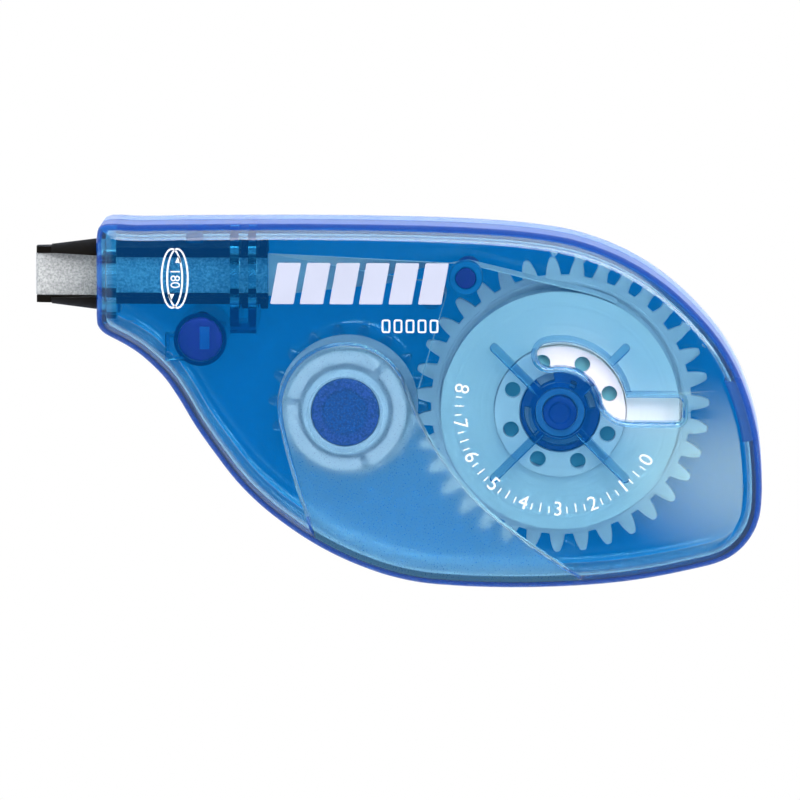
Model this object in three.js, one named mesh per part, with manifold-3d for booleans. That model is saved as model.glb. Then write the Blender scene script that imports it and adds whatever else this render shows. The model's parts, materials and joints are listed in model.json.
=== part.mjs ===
// Correction tape roller, lying flat on its back cover.
// Millimetres. X runs along the body (tip at -X), Y across it (tip side up), Z is the thickness.
import * as THREE from 'three';
import { mergeVertices } from 'three/addons/utils/BufferGeometryUtils.js';
import Module from 'manifold-3d';

const wasm = await Module();
wasm.setup();

// ---------- driving dimensions ----------
const THICKNESS = 14;
const MIDDLE = THICKNESS / 2;
const FLOOR = 1.2;
const WALL = 1.3;
const EDGE_ROUND = 1.6;
const RUNNING_GAP = 0.06;
const CLEARANCE = 0.3;
const SEAT = 0.2;

const GEAR_MODULE = 0.96;
const GEAR_TEETH = 35;
const PINION_TEETH = 18;
const GEAR_FIRST_TOOTH = 1;
const GEAR_Z = [2.4, 3.6];
const PRESSURE_ANGLE = 20;
const BACKLASH = 0.07;
const TOOTH_TIP = 0.9;
const TOOTH_ROOT = 1.25;

const SUPPLY_X = 19.25;
const REEL_Y = -0.85;
const AXIS_DISTANCE = GEAR_MODULE * (GEAR_TEETH + PINION_TEETH) / 2;
const TAKEUP_X = SUPPLY_X - AXIS_DISTANCE;

const TAPE_WIDTH = 5;
const TAPE_THICKNESS = 0.2;
const TAPE_Z = [MIDDLE - TAPE_WIDTH / 2, MIDDLE + TAPE_WIDTH / 2];
const COIL_RADIUS = 14.2;
const CORE_RADIUS = 7.8;
const DRUM_RADIUS = 7.0;
const FILM_COIL_RADIUS = 7.35;

const POST_TOP = 12.3;
const SUPPLY_POST_RADIUS = 2.0;
const GEAR_SLEEVE_RADIUS = 2.9;
const CLUTCH_RADIUS = 4.7;
const CLUTCH_Z = [8.8, 10.5];
const CLUTCH_SLOTS = [[100, 128, 3.75, 5], [58, 70, 3.1, 4.0], [5, 38, 3.4, 4.25], [172, 226, 3.4, 4.25],
  [236, 312, 3.3, 4.1]];
const CORE_FACE_Z = [9.9, 10.8];
const CORE_HOLES = { count: 8, first: 20, circle: 6.2, radius: 0.95 };
const KEEPER = { inner: 3.2, outer: 11, half: 0.5, height: 1.6, angles: [45, 135, 225, 315] };
const TAKEUP_POST_RADIUS = 4.0;
const TAKEUP_HUB_RADIUS = 5.1;
const SPOOL_FLANGE = { radius: 8.4, z: [3.9, 4.3] };
const SPOOL_RING = { inner: 5.6, outer: 7.3, z: [9.95, 10.9], gaps: [170, 50, 290], gapHalf: 3 };

const PIN = { x: 8.1, y: 15.2, radius: 1.2 };
const POST = { x: 4.0, y: 12.8, radius: 1.4 };
const BOSS = { x: -23.35, y: 7.85, radius: 3.15, bore: 2.7 };

const TIP_Y = 15;
const TIP_END = -43.2;
const BARREL_END = -15.6;
const MOUTH = -35.65;
const CHEEK = [2.55, 3.35];
const CHEEK_LIP = { y: 2.15, z: [0.62, 1.3] };
const LANE = 0.45;
const WING = { start: -41.3, startRadius: 3.55, mouthRadius: 4.35 };
const COLLAR_RADIUS = 4.05;
const COLLARS = [[-18.6, -17.8], [-16.4, BARREL_END]];
const WEB_HALF = 0.2;
const BLADE_HALF = 0.25;
const MOUTH_RADIUS = 4.75;
const MOUTH_DEPTH = 2.6;
const BEARING_RADIUS = 3.95;
const BEARING_RIBS = [[-34.3, -33.3], [-19.8, -18.75], [-17.65, -16.7]];
const RIB_Y = [10.3, 20.5];
const LONG_RIB_Y = 9.0;
const RIB_BRIDGE_Y = [8.6, 9.8];
const REAR_LATCH = { y: [-4.8, 3.3], depth: 0.25, height: 2 };
const REST_DEPTH = 0.4;

// ---------- solids ----------
function toSolid(geometry) {
  const plain = geometry.clone();
  plain.deleteAttribute('normal');
  plain.deleteAttribute('uv');
  const merged = mergeVertices(plain, 1e-4);
  return new wasm.Manifold(new wasm.Mesh({
    numProp: 3,
    vertProperties: new Float32Array(merged.attributes.position.array),
    triVerts: new Uint32Array(merged.index.array),
  }));
}

function toGeometry(solid) {
  const mesh = solid.getMesh();
  const geometry = new THREE.BufferGeometry();
  geometry.setAttribute('position', new THREE.BufferAttribute(new Float32Array(mesh.vertProperties), 3));
  geometry.setIndex(new THREE.BufferAttribute(new Uint32Array(mesh.triVerts), 1));
  geometry.computeVertexNormals();
  return geometry;
}

const join = (solids) => solids.reduce((whole, next) => whole.add(next));
const cut = (solid, tools) => tools.reduce((rest, tool) => rest.subtract(tool), solid);

// A flat shape raised from z0 to z1.
function raise(shape, z0, z1, curveSegments = 12) {
  const geometry = new THREE.ExtrudeGeometry(shape, { depth: z1 - z0, bevelEnabled: false, curveSegments });
  geometry.translate(0, 0, z0);
  return toSolid(geometry);
}

function block(x0, x1, y0, y1, z0, z1) {
  const geometry = new THREE.BoxGeometry(x1 - x0, y1 - y0, z1 - z0);
  geometry.translate((x0 + x1) / 2, (y0 + y1) / 2, (z0 + z1) / 2);
  return toSolid(geometry);
}

function disc(x, y, radius, z0, z1, sides = 32) {
  const shape = new THREE.Shape().absarc(x, y, radius, 0, Math.PI * 2, false);
  return raise(shape, z0, z1, sides / 2);
}

function ring(x, y, inner, outer, z0, z1, sides = 40) {
  const shape = new THREE.Shape().absarc(x, y, outer, 0, Math.PI * 2, false);
  shape.holes.push(new THREE.Path().absarc(x, y, inner, 0, Math.PI * 2, true));
  return raise(shape, z0, z1, sides / 2);
}

// A round bar or cone along X about the tip's axis.
function barAlongX(x0, x1, radius0, radius1, sides = 32) {
  const geometry = new THREE.CylinderGeometry(radius1, radius0, x1 - x0, sides);
  geometry.rotateZ(-Math.PI / 2);
  geometry.translate((x0 + x1) / 2, TIP_Y, MIDDLE);
  return toSolid(geometry);
}

// A curved bar between two radii and two angles (degrees) about a centre.
function arcShape(x, y, inner, outer, from, to) {
  const a = THREE.MathUtils.degToRad(from);
  const b = THREE.MathUtils.degToRad(to);
  const shape = new THREE.Shape();
  shape.absarc(x, y, outer, a, b, false);
  shape.absarc(x, y, inner, b, a, true);
  shape.closePath();
  return shape;
}

// ---------- housing outline ----------
// The long edge, from the lower corner of the mouth round the rear end to its upper corner.
const BODY_EDGE = [
  [-33.9, 8.0], [-30.8, 6.2], [-27.2, 2.7], [-23.5, -3.2], [-18.2, -10.1], [-12, -15.2],
  [-5.6, -18.7], [1.3, -20.9], [9, -21.6], [18, -21.6], [27, -20.9], [35, -19.4], [39.5, -17.9],
  [42.3, -14.8], [43.2, -10.2], [42.4, -1.8], [39.4, 6.0], [34.5, 12.1], [28.7, 16.6], [22, 19.5],
  [14.5, 20.8], [4, 21.4], [-10, 21.6], [-25, 21.5], [-34.1, 21.3],
];

function outlinePoints() {
  const spot = (x, y) => new THREE.Vector2(x, y);
  const edge = BODY_EDGE.map(([x, y]) => spot(x, y));
  const lowerCorner = new THREE.QuadraticBezierCurve(spot(MOUTH, 10.3), spot(MOUTH, 8.8), edge[0]);
  const upperCorner = new THREE.QuadraticBezierCurve(edge.at(-1), spot(MOUTH, 21.2), spot(MOUTH, 19.5));
  return [
    ...lowerCorner.getPoints(3),
    ...new THREE.SplineCurve(edge).getPoints(edge.length * 2).slice(1),
    ...upperCorner.getPoints(3).slice(1),
  ];
}

// The outline moved inwards by a distance. Points of tight corners that end up too near it are left out.
function insetShape(distance) {
  const points = outlinePoints();
  const count = points.length;
  const moved = points.map((point, i) => {
    const before = points[(i + count - 1) % count];
    const after = points[(i + 1) % count];
    const along = after.clone().sub(before).normalize();
    return new THREE.Vector2(point.x - along.y * distance, point.y + along.x * distance);
  });
  const nearest = (spot) => Math.min(...points.map((point) => point.distanceTo(spot)));
  return new THREE.Shape(moved.filter((spot) => nearest(spot) > distance * 0.97));
}

// The whole body as one solid block with rounded edges on both faces.
function housingBlock() {
  const geometry = new THREE.ExtrudeGeometry(insetShape(EDGE_ROUND), {
    depth: THICKNESS - 2 * EDGE_ROUND,
    bevelEnabled: true,
    bevelThickness: EDGE_ROUND,
    bevelSize: EDGE_ROUND,
    bevelSegments: 3,
  });
  geometry.translate(0, 0, EDGE_ROUND);
  return toSolid(geometry);
}

const halfSpace = (z0, z1) => block(-60, 60, -40, 40, z0, z1);
const cavity = () => raise(insetShape(WALL), FLOOR, THICKNESS - FLOOR);
const mouthHole = () => barAlongX(MOUTH - 1, MOUTH + MOUTH_DEPTH, MOUTH_RADIUS, MOUTH_RADIUS);

// Two ribs carry the barrel, a third keeps its collar from sliding, each with a round bearing notch.
function bearingRibs(z0, z1) {
  const ribs = BEARING_RIBS.map(([x0, x1]) => {
    const plate = block(x0, x1, x0 < BOSS.x ? RIB_Y[0] : LONG_RIB_Y, RIB_Y[1], z0, z1);
    return plate.subtract(barAlongX(x0 - 1, x1 + 1, BEARING_RADIUS, BEARING_RADIUS));
  });
  ribs.push(block(-25, -23, 19.3, RIB_Y[1], z0, z1));
  return join(ribs);
}

// The tongue at the rear end: the part of the rim between two heights and inside a short span.
function rearTongue(z0, z1, grow) {
  const rim = raise(insetShape(REAR_LATCH.depth), z0, z1).subtract(cavity());
  return rim.intersect(block(36, 44, REAR_LATCH.y[0] - grow, REAR_LATCH.y[1] + grow, z0, z1));
}

// ---------- front cover details ----------
const WINDOW = { inner: 5.1, outer: 8.0, start: 105, end: 14.5, top: 1.4, bottom: -1.5 };

// The S-shaped window: an arc over the reel core that runs out into a straight slot.
function windowShape() {
  const { inner, outer, start, end, top, bottom } = WINDOW;
  const x = SUPPLY_X;
  const y = REEL_Y + 0.6;
  const rad = THREE.MathUtils.degToRad;
  const corner = 0.8;
  const middle = (inner + outer) / 2;
  const meet = Math.asin(top / outer);
  const shape = new THREE.Shape();
  shape.absarc(x, y, outer, rad(start), meet, true);
  shape.lineTo(x + end - corner, y + top);
  shape.quadraticCurveTo(x + end, y + top, x + end, y + top - corner);
  shape.lineTo(x + end, y + bottom + corner);
  shape.quadraticCurveTo(x + end, y + bottom, x + end - corner, y + bottom);
  shape.lineTo(x + outer + 0.8, y + bottom);
  const bend = { x: x + inner * Math.cos(rad(12)), y: y + inner * Math.sin(rad(12)) };
  shape.bezierCurveTo(x + 6.6, y + bottom, x + 5.4, y - 0.6, bend.x, bend.y);
  shape.absarc(x, y, inner, rad(12), rad(start), false);
  shape.absarc(x + middle * Math.cos(rad(start)), y + middle * Math.sin(rad(start)),
    (outer - inner) / 2, rad(start - 180), rad(start), true);
  return shape;
}

// The frosted thumb rest: a round head over the take-up reel with a tail that widens to the lower edge.
function thumbRestShape() {
  const x = TAKEUP_X;
  const y = REEL_Y + 0.6;
  const rad = THREE.MathUtils.degToRad;
  const shape = new THREE.Shape();
  shape.absarc(x, y, 7.7, rad(28), rad(190), false);
  shape.splineThru([[-13.2, -4.5], [-11.8, -9.6], [-10.6, -13.2], [-9.6, -17.5]]
    .map((point) => new THREE.Vector2(...point)));
  shape.lineTo(-9.6, -24);
  shape.lineTo(24, -24);
  shape.lineTo(22.5, -20.6);
  shape.splineThru([[19.8, -19.1], [13.7, -14.8], [9, -10.7], [4.4, -4.7], [2.1, -0.4]]
    .map((point) => new THREE.Vector2(...point)));
  shape.closePath();
  return shape;
}

// Four bars in an X that keep the reel down, standing on the inside of the front cover.
function reelKeepers() {
  const { inner, outer, half, height, angles } = KEEPER;
  const bars = angles.map((angle) => {
    const shape = new THREE.Shape();
    shape.moveTo(inner, -half);
    shape.lineTo(outer, -half);
    shape.absarc(outer, 0, half, -Math.PI / 2, Math.PI / 2, false);
    shape.lineTo(inner, half);
    shape.closePath();
    const depth = height + SEAT;
    const geometry = new THREE.ExtrudeGeometry(shape, { depth, bevelEnabled: false, curveSegments: 4 });
    geometry.rotateZ(THREE.MathUtils.degToRad(angle));
    geometry.translate(SUPPLY_X, REEL_Y, THICKNESS - FLOOR - height);
    return toSolid(geometry);
  });
  return join(bars);
}

function bossTube(z0, z1) {
  return ring(BOSS.x, BOSS.y, BOSS.bore, BOSS.radius, z0, z1, 32);
}

function frontCover() {
  const inside = THICKNESS - FLOOR;
  const shell = housingBlock().intersect(halfSpace(MIDDLE, THICKNESS + 1)).subtract(cavity());
  const extras = [
    bearingRibs(MIDDLE, inside + SEAT),
    block(BEARING_RIBS[1][0], BEARING_RIBS[2][1], ...RIB_BRIDGE_Y, MIDDLE + CLEARANCE, inside + SEAT),
    reelKeepers(),
    bossTube(MIDDLE + CLEARANCE, inside + SEAT),
    ring(SUPPLY_X, REEL_Y, 3.0, 3.7, inside - 1.2, inside + SEAT, 32),
  ];
  const tools = [
    mouthHole(),
    raise(windowShape(), inside - 3, THICKNESS + 1, 10),
    raise(thumbRestShape(), THICKNESS - REST_DEPTH, THICKNESS + 1),
    rearTongue(MIDDLE - 1, MIDDLE + REAR_LATCH.height + 0.2, 0.15),
  ];
  return cut(join([shell, ...extras]), tools);
}

function backCover() {
  const shell = housingBlock().intersect(halfSpace(-1, MIDDLE)).subtract(cavity());
  const extras = [
    bearingRibs(FLOOR - SEAT, MIDDLE),
    bossTube(FLOOR - SEAT, MIDDLE),
    rearTongue(MIDDLE - 1, MIDDLE + REAR_LATCH.height, 0),
  ];
  return join([shell, ...extras]).subtract(mouthHole());
}

function snapPin() {
  const end = FLOOR + CLEARANCE;
  return disc(BOSS.x, BOSS.y, BOSS.bore - RUNNING_GAP, end, THICKNESS - end, 24);
}

function supplyAxle() {
  const post = disc(SUPPLY_X, REEL_Y, SUPPLY_POST_RADIUS, FLOOR, POST_TOP, 32);
  const foot = disc(SUPPLY_X, REEL_Y, 3.4, FLOOR, 1.8, 32);
  return cut(join([post, foot]), [disc(SUPPLY_X, REEL_Y, 1.2, POST_TOP - 0.4, POST_TOP + 1, 24)]);
}

function takeupAxle() {
  const post = disc(TAKEUP_X, REEL_Y, TAKEUP_POST_RADIUS, FLOOR, POST_TOP, 40);
  return cut(post, [disc(TAKEUP_X, REEL_Y, 2.6, POST_TOP - 0.2, POST_TOP + 1, 32)]);
}

function guidePin() {
  const pin = disc(PIN.x, PIN.y, PIN.radius, FLOOR, THICKNESS - FLOOR, 24);
  const shoulder = disc(PIN.x, PIN.y, 1.55, FLOOR, TAPE_Z[0] - CLEARANCE, 24);
  const cap = disc(PIN.x, PIN.y, 2, TAPE_Z[1] + CLEARANCE, THICKNESS - FLOOR, 24);
  return join([pin, shoulder, cap]);
}

function guidePost() {
  return disc(POST.x, POST.y, POST.radius, FLOOR, 11.5, 24);
}

// ---------- gears ----------
// One involute tooth flank: polar points from root to tip, as radius and angle from the tooth's middle.
function flankPoints(teeth) {
  const pitch = GEAR_MODULE * teeth / 2;
  const base = pitch * Math.cos(THREE.MathUtils.degToRad(PRESSURE_ANGLE));
  const involute = (radius) => {
    const t = Math.sqrt(Math.max((radius / base) ** 2 - 1, 0));
    return t - Math.atan(t);
  };
  const halfAtPitch = Math.PI / (2 * teeth) - BACKLASH / pitch;
  const root = pitch - TOOTH_ROOT;
  const tip = pitch + TOOTH_TIP;
  const start = Math.max(base, root);
  const flank = [[root, halfAtPitch + involute(pitch) + 0.05 / root]];
  for (const share of [0, 0.5, 1]) {
    const radius = start + (tip - start) * share;
    flank.push([radius, halfAtPitch + involute(pitch) - involute(radius)]);
  }
  return flank;
}

function gearShape(x, y, teeth, firstTooth, hole) {
  const flank = flankPoints(teeth);
  const points = [];
  for (let tooth = 0; tooth < teeth; tooth += 1) {
    const middle = THREE.MathUtils.degToRad(firstTooth) + tooth * 2 * Math.PI / teeth;
    const place = ([radius, angle], side) => points.push(new THREE.Vector2(
      x + radius * Math.cos(middle + side * angle), y + radius * Math.sin(middle + side * angle)));
    flank.forEach((point) => place(point, -1));
    [...flank].reverse().forEach((point) => place(point, 1));
  }
  const shape = new THREE.Shape(points);
  shape.holes.push(new THREE.Path().absarc(x, y, hole, 0, Math.PI * 2, true));
  return shape;
}

// The pinion's first tooth, so that a gap of the pinion meets the gear tooth nearest to it.
function pinionFirstTooth() {
  const gearStep = 360 / GEAR_TEETH;
  const pinionStep = 360 / PINION_TEETH;
  const phase = ((180 - GEAR_FIRST_TOOTH) / gearStep) % 1;
  return (phase + 0.5) * pinionStep;
}

function supplyGear() {
  const bore = SUPPLY_POST_RADIUS + RUNNING_GAP;
  const wheel = raise(gearShape(SUPPLY_X, REEL_Y, GEAR_TEETH, GEAR_FIRST_TOOTH, bore), ...GEAR_Z, 16);
  const sleeve = ring(SUPPLY_X, REEL_Y, bore, GEAR_SLEEVE_RADIUS, 2.0, 10.9, 32);
  return wheel.add(sleeve);
}

// The slip clutch: a ring on the gear's sleeve whose long slots leave sprung arms.
function clutchRing() {
  const body = ring(SUPPLY_X, REEL_Y, GEAR_SLEEVE_RADIUS + 0.04, CLUTCH_RADIUS, ...CLUTCH_Z, 32);
  const tools = CLUTCH_SLOTS.map(([from, to, inner, outer]) =>
    raise(arcShape(SUPPLY_X, REEL_Y, inner, outer, from, to), 8, 11, 3));
  return cut(body, tools);
}

function supplyCore() {
  const shape = new THREE.Shape().absarc(SUPPLY_X, REEL_Y, CORE_RADIUS, 0, Math.PI * 2, false);
  shape.holes.push(new THREE.Path().absarc(SUPPLY_X, REEL_Y, CLUTCH_RADIUS + 0.1, 0, Math.PI * 2, true));
  const face = raise(shape, ...CORE_FACE_Z, 20);
  const tube = ring(SUPPLY_X, REEL_Y, 7.15, CORE_RADIUS, 4.2, 10, 40);
  const sleeve = ring(SUPPLY_X, REEL_Y, CLUTCH_RADIUS + 0.1, 5.2, 7.5, 10, 32);
  const { count, first, circle, radius } = CORE_HOLES;
  const holes = Array.from({ length: count }, (_, i) => {
    const angle = THREE.MathUtils.degToRad(first + i * 360 / count);
    return disc(SUPPLY_X + circle * Math.cos(angle), REEL_Y + circle * Math.sin(angle), radius, 9, 11.5, 10);
  });
  return cut(join([face, tube, sleeve]), holes);
}

function tapeCoil() {
  return ring(SUPPLY_X, REEL_Y, CORE_RADIUS + 0.05, COIL_RADIUS, ...TAPE_Z, 56);
}

// ---------- take-up side ----------
function takeupGear() {
  const shape = gearShape(TAKEUP_X, REEL_Y, PINION_TEETH, pinionFirstTooth(), TAKEUP_HUB_RADIUS + 0.05);
  return raise(shape, ...GEAR_Z, 16);
}

function takeupSpool() {
  const bore = TAKEUP_POST_RADIUS + RUNNING_GAP;
  return join([
    ring(TAKEUP_X, REEL_Y, bore, TAKEUP_HUB_RADIUS, 1.6, POST_TOP - 0.2, 40),
    ring(TAKEUP_X, REEL_Y, bore, SPOOL_FLANGE.radius, ...SPOOL_FLANGE.z, 40),
    ring(TAKEUP_X, REEL_Y, 6.3, DRUM_RADIUS, 4.2, 9.9, 40),
  ]);
}

// The pale front ring of the spool, its face in three arcs with shallow gaps between them.
function takeupRing() {
  const { inner, outer, z, gaps, gapHalf } = SPOOL_RING;
  const body = ring(TAKEUP_X, REEL_Y, inner, outer, ...z, 40);
  const tools = gaps.map((angle) =>
    raise(arcShape(TAKEUP_X, REEL_Y, 5, 8, angle - gapHalf, angle + gapHalf), z[1] - 0.5, z[1] + 1, 2));
  return cut(body, tools);
}

function filmCoil() {
  return ring(TAKEUP_X, REEL_Y, DRUM_RADIUS + 0.04, FILM_COIL_RADIUS, ...TAPE_Z, 40);
}

// ---------- tape and film ----------
// A standing strip along a route of (x, y) points, as wide as the tape.
function strip(route, thickness = TAPE_THICKNESS) {
  const sides = route.map(([x, y], i) => {
    const [ax, ay] = route[Math.max(i - 1, 0)];
    const [bx, by] = route[Math.min(i + 1, route.length - 1)];
    const along = new THREE.Vector2(bx - ax, by - ay).normalize().multiplyScalar(thickness / 2);
    return [new THREE.Vector2(x - along.y, y + along.x), new THREE.Vector2(x + along.y, y - along.x)];
  });
  const left = sides.map((pair) => pair[0]);
  const right = sides.map((pair) => pair[1]).reverse();
  return raise(new THREE.Shape([...left, ...right]), ...TAPE_Z);
}

const arcPoints = (x, y, radius, from, to, count) => Array.from({ length: count + 1 }, (_, i) => {
  const angle = THREE.MathUtils.degToRad(from + (to - from) * i / count);
  return [x + radius * Math.cos(angle), y + radius * Math.sin(angle)];
});

// The angle at which a line that touches two circles on the same side touches them.
function tangentAngle(big, small) {
  const dx = small.x - big.x;
  const dy = small.y - big.y;
  const centre = Math.atan2(dy, dx);
  return THREE.MathUtils.radToDeg(centre - Math.acos((big.radius - small.radius) / Math.hypot(dx, dy)));
}

const OFF = 0.15 + TAPE_THICKNESS / 2;
const fresh = {
  reel: { x: SUPPLY_X, y: REEL_Y, radius: COIL_RADIUS + OFF },
  guide: { x: PIN.x, y: PIN.y, radius: PIN.radius + OFF },
};
const used = {
  reel: { x: TAKEUP_X, y: REEL_Y, radius: FILM_COIL_RADIUS + OFF },
  guide: { x: POST.x, y: POST.y, radius: POST.radius + OFF },
};

function freshTapeRun() {
  const { reel, guide } = fresh;
  const touch = tangentAngle(reel, guide);
  return strip([
    ...arcPoints(reel.x, reel.y, reel.radius, touch - 12, touch, 2),
    ...arcPoints(guide.x, guide.y, guide.radius, touch, 90, 3),
  ]);
}

// The film turns over the post and drops to the right-hand side of the take-up drum.
function usedFilmRun() {
  const { reel, guide } = used;
  const touch = tangentAngle(reel, guide);
  return strip([
    ...arcPoints(reel.x, reel.y, reel.radius, touch - 14, touch, 2),
    ...arcPoints(guide.x, guide.y, guide.radius, touch, 90, 6),
  ]);
}

// The stretch between guide and barrel: each edge runs straight while the strip turns by 90 degrees.
function twistedStrip(guide, laneSide) {
  const startX = BARREL_END + 0.15;
  const endX = guide.x - 0.1;
  const half = TAPE_WIDTH / 2;
  const geometry = new THREE.BoxGeometry(1, 1, 1, 16, 1, 1);
  const position = geometry.attributes.position;
  for (let i = 0; i < position.count; i += 1) {
    const share = position.getX(i) + 0.5;
    const across = position.getY(i) * 2;
    const through = position.getZ(i) * TAPE_THICKNESS;
    const middleY = TIP_Y * (1 - share) + (guide.y + guide.radius) * share;
    const middleZ = MIDDLE + laneSide * LANE * (1 - share);
    const wide = new THREE.Vector2(half * (1 - share), half * share);
    const normal = new THREE.Vector2(-wide.y, wide.x).normalize();
    position.setXYZ(i, startX + (endX - startX) * share,
      middleY + across * wide.x + through * normal.x,
      middleZ + across * wide.y + through * normal.y);
  }
  return toSolid(geometry);
}

// ---------- swivelling tip ----------
// A flat bar along X whose depth grows from the tip's end to the mouth.
function cheek(side) {
  const shape = new THREE.Shape();
  shape.moveTo(TIP_END + 0.1, -0.9);
  shape.lineTo(MOUTH, -1.9);
  shape.lineTo(BARREL_END, -1.9);
  shape.lineTo(BARREL_END, 1.9);
  shape.lineTo(MOUTH, 1.9);
  shape.lineTo(TIP_END + 0.1, 0.9);
  shape.closePath();
  const geometry = new THREE.ExtrudeGeometry(shape, { depth: CHEEK[1] - CHEEK[0], bevelEnabled: false });
  geometry.rotateX(-Math.PI / 2);
  geometry.translate(0, TIP_Y + (side > 0 ? CHEEK[0] : -CHEEK[1]), MIDDLE);
  return toSolid(geometry);
}

function tipBarrel() {
  const slot = block(TIP_END - 1, BARREL_END + 1, TIP_Y - CHEEK[0], TIP_Y + CHEEK[0], 0, THICKNESS);
  const wings = barAlongX(WING.start, MOUTH + 0.6, WING.startRadius, WING.mouthRadius, 36).subtract(slot);
  const collars = COLLARS.map(([x0, x1]) =>
    barAlongX(x0, x1, COLLAR_RADIUS, COLLAR_RADIUS).subtract(slot));
  const lips = [-1, 1].map((side) => {
    const edges = [TIP_Y + side * CHEEK_LIP.y, TIP_Y + side * (CHEEK[0] + 0.2)].sort((a, b) => a - b);
    return block(MOUTH, BARREL_END, ...edges, MIDDLE + CHEEK_LIP.z[0], MIDDLE + CHEEK_LIP.z[1]);
  });
  const web = block(MOUTH, BARREL_END, TIP_Y - CHEEK[0] - 0.2, TIP_Y + CHEEK[0] + 0.2,
    MIDDLE - WEB_HALF, MIDDLE + WEB_HALF);
  return join([cheek(1), cheek(-1), wings, ...collars, ...lips, web]);
}

function tipBlade() {
  const shape = new THREE.Shape();
  const back = MOUTH - 0.3;
  const front = TIP_END + 0.6;
  shape.moveTo(back, -BLADE_HALF);
  shape.lineTo(back, BLADE_HALF);
  shape.lineTo(front, BLADE_HALF);
  shape.absarc(front, 0, BLADE_HALF, Math.PI / 2, Math.PI * 1.5, false);
  shape.closePath();
  const options = { depth: TAPE_WIDTH, bevelEnabled: false, curveSegments: 4 };
  const geometry = new THREE.ExtrudeGeometry(shape, options);
  geometry.rotateX(Math.PI / 2);
  geometry.translate(0, TIP_Y + TAPE_WIDTH / 2, MIDDLE);
  return toSolid(geometry);
}

// The tape in the tip: two flat lanes, the front one carried round the blade's edge.
function tipLane(side, wraps) {
  const inner = LANE - TAPE_THICKNESS / 2;
  const outer = LANE + TAPE_THICKNESS / 2;
  const bend = TIP_END + outer;
  const shape = new THREE.Shape();
  shape.moveTo(BARREL_END, side * outer);
  shape.lineTo(bend, side * outer);
  if (wraps) {
    shape.absarc(bend, 0, outer, Math.PI / 2, Math.PI * 1.5, false);
    shape.lineTo(bend, -inner);
    shape.absarc(bend, 0, inner, Math.PI * 1.5, Math.PI / 2, true);
  }
  shape.lineTo(bend, side * inner);
  shape.lineTo(BARREL_END, side * inner);
  shape.closePath();
  const options = { depth: TAPE_WIDTH, bevelEnabled: false, curveSegments: 6 };
  const geometry = new THREE.ExtrudeGeometry(shape, options);
  geometry.rotateX(Math.PI / 2);
  geometry.translate(0, TIP_Y + TAPE_WIDTH / 2, MIDDLE);
  return toSolid(geometry);
}

// ---------- materials ----------
function plastic(color, roughness, opacity = 1) {
  const transparent = opacity < 1;
  return new THREE.MeshStandardMaterial({ color, roughness, metalness: 0, opacity, transparent });
}

const clearBlue = plastic(0x1268b4, 0.12, 0.5);
const deepBlue = plastic(0x08388f, 0.3);
const paleBlue = plastic(0xa9cdea, 0.35);
const whitePlastic = plastic(0xdfe8ee, 0.4);
const blackPlastic = plastic(0x16160f, 0.35);
const whiteTape = plastic(0xe9edee, 0.55);
const greyFilm = plastic(0xadb1b0, 0.3);

// ---------- assembly ----------
const pieces = [
  ['back_cover', backCover(), clearBlue],
  ['front_cover', frontCover(), clearBlue],
  ['snap_pin', snapPin(), deepBlue],
  ['supply_axle', supplyAxle(), deepBlue],
  ['takeup_axle', takeupAxle(), deepBlue],
  ['guide_pin', guidePin(), deepBlue],
  ['guide_post', guidePost(), deepBlue],
  ['fresh_tape_run', freshTapeRun(), whiteTape],
  ['fresh_tape_twist', twistedStrip(fresh.guide, -1), whiteTape],
  ['used_film_run', usedFilmRun(), greyFilm],
  ['used_film_twist', twistedStrip(used.guide, 1), greyFilm],
  ['supply_gear', supplyGear(), paleBlue],
  ['clutch_ring', clutchRing(), deepBlue],
  ['supply_core', supplyCore(), whitePlastic],
  ['tape_coil', tapeCoil(), whiteTape],
  ['takeup_gear', takeupGear(), deepBlue],
  ['takeup_spool', takeupSpool(), paleBlue],
  ['takeup_ring', takeupRing(), whitePlastic],
  ['used_film_coil', filmCoil(), greyFilm],
  ['tip_barrel', tipBarrel(), blackPlastic],
  ['tip_blade', tipBlade(), blackPlastic],
  ['tip_fresh_tape', tipLane(-1, false), whiteTape],
  ['tip_used_film', tipLane(1, true), greyFilm],
];

const roller = new THREE.Group();
for (const [name, solid, material] of pieces) {
  const mesh = new THREE.Mesh(toGeometry(solid), material);
  mesh.name = name;
  roller.add(mesh);
}

export default roller;
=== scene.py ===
"""Looks of the correction tape roller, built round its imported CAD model. Metres, in the CAD's frame:
X along the body with the tip at -X, Y towards the edge that the tip is on, Z out of the front cover."""

import json
import math

import bmesh
import bpy
import numpy as np
from mathutils import Matrix, Vector
from mathutils.geometry import tessellate_polygon

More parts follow.
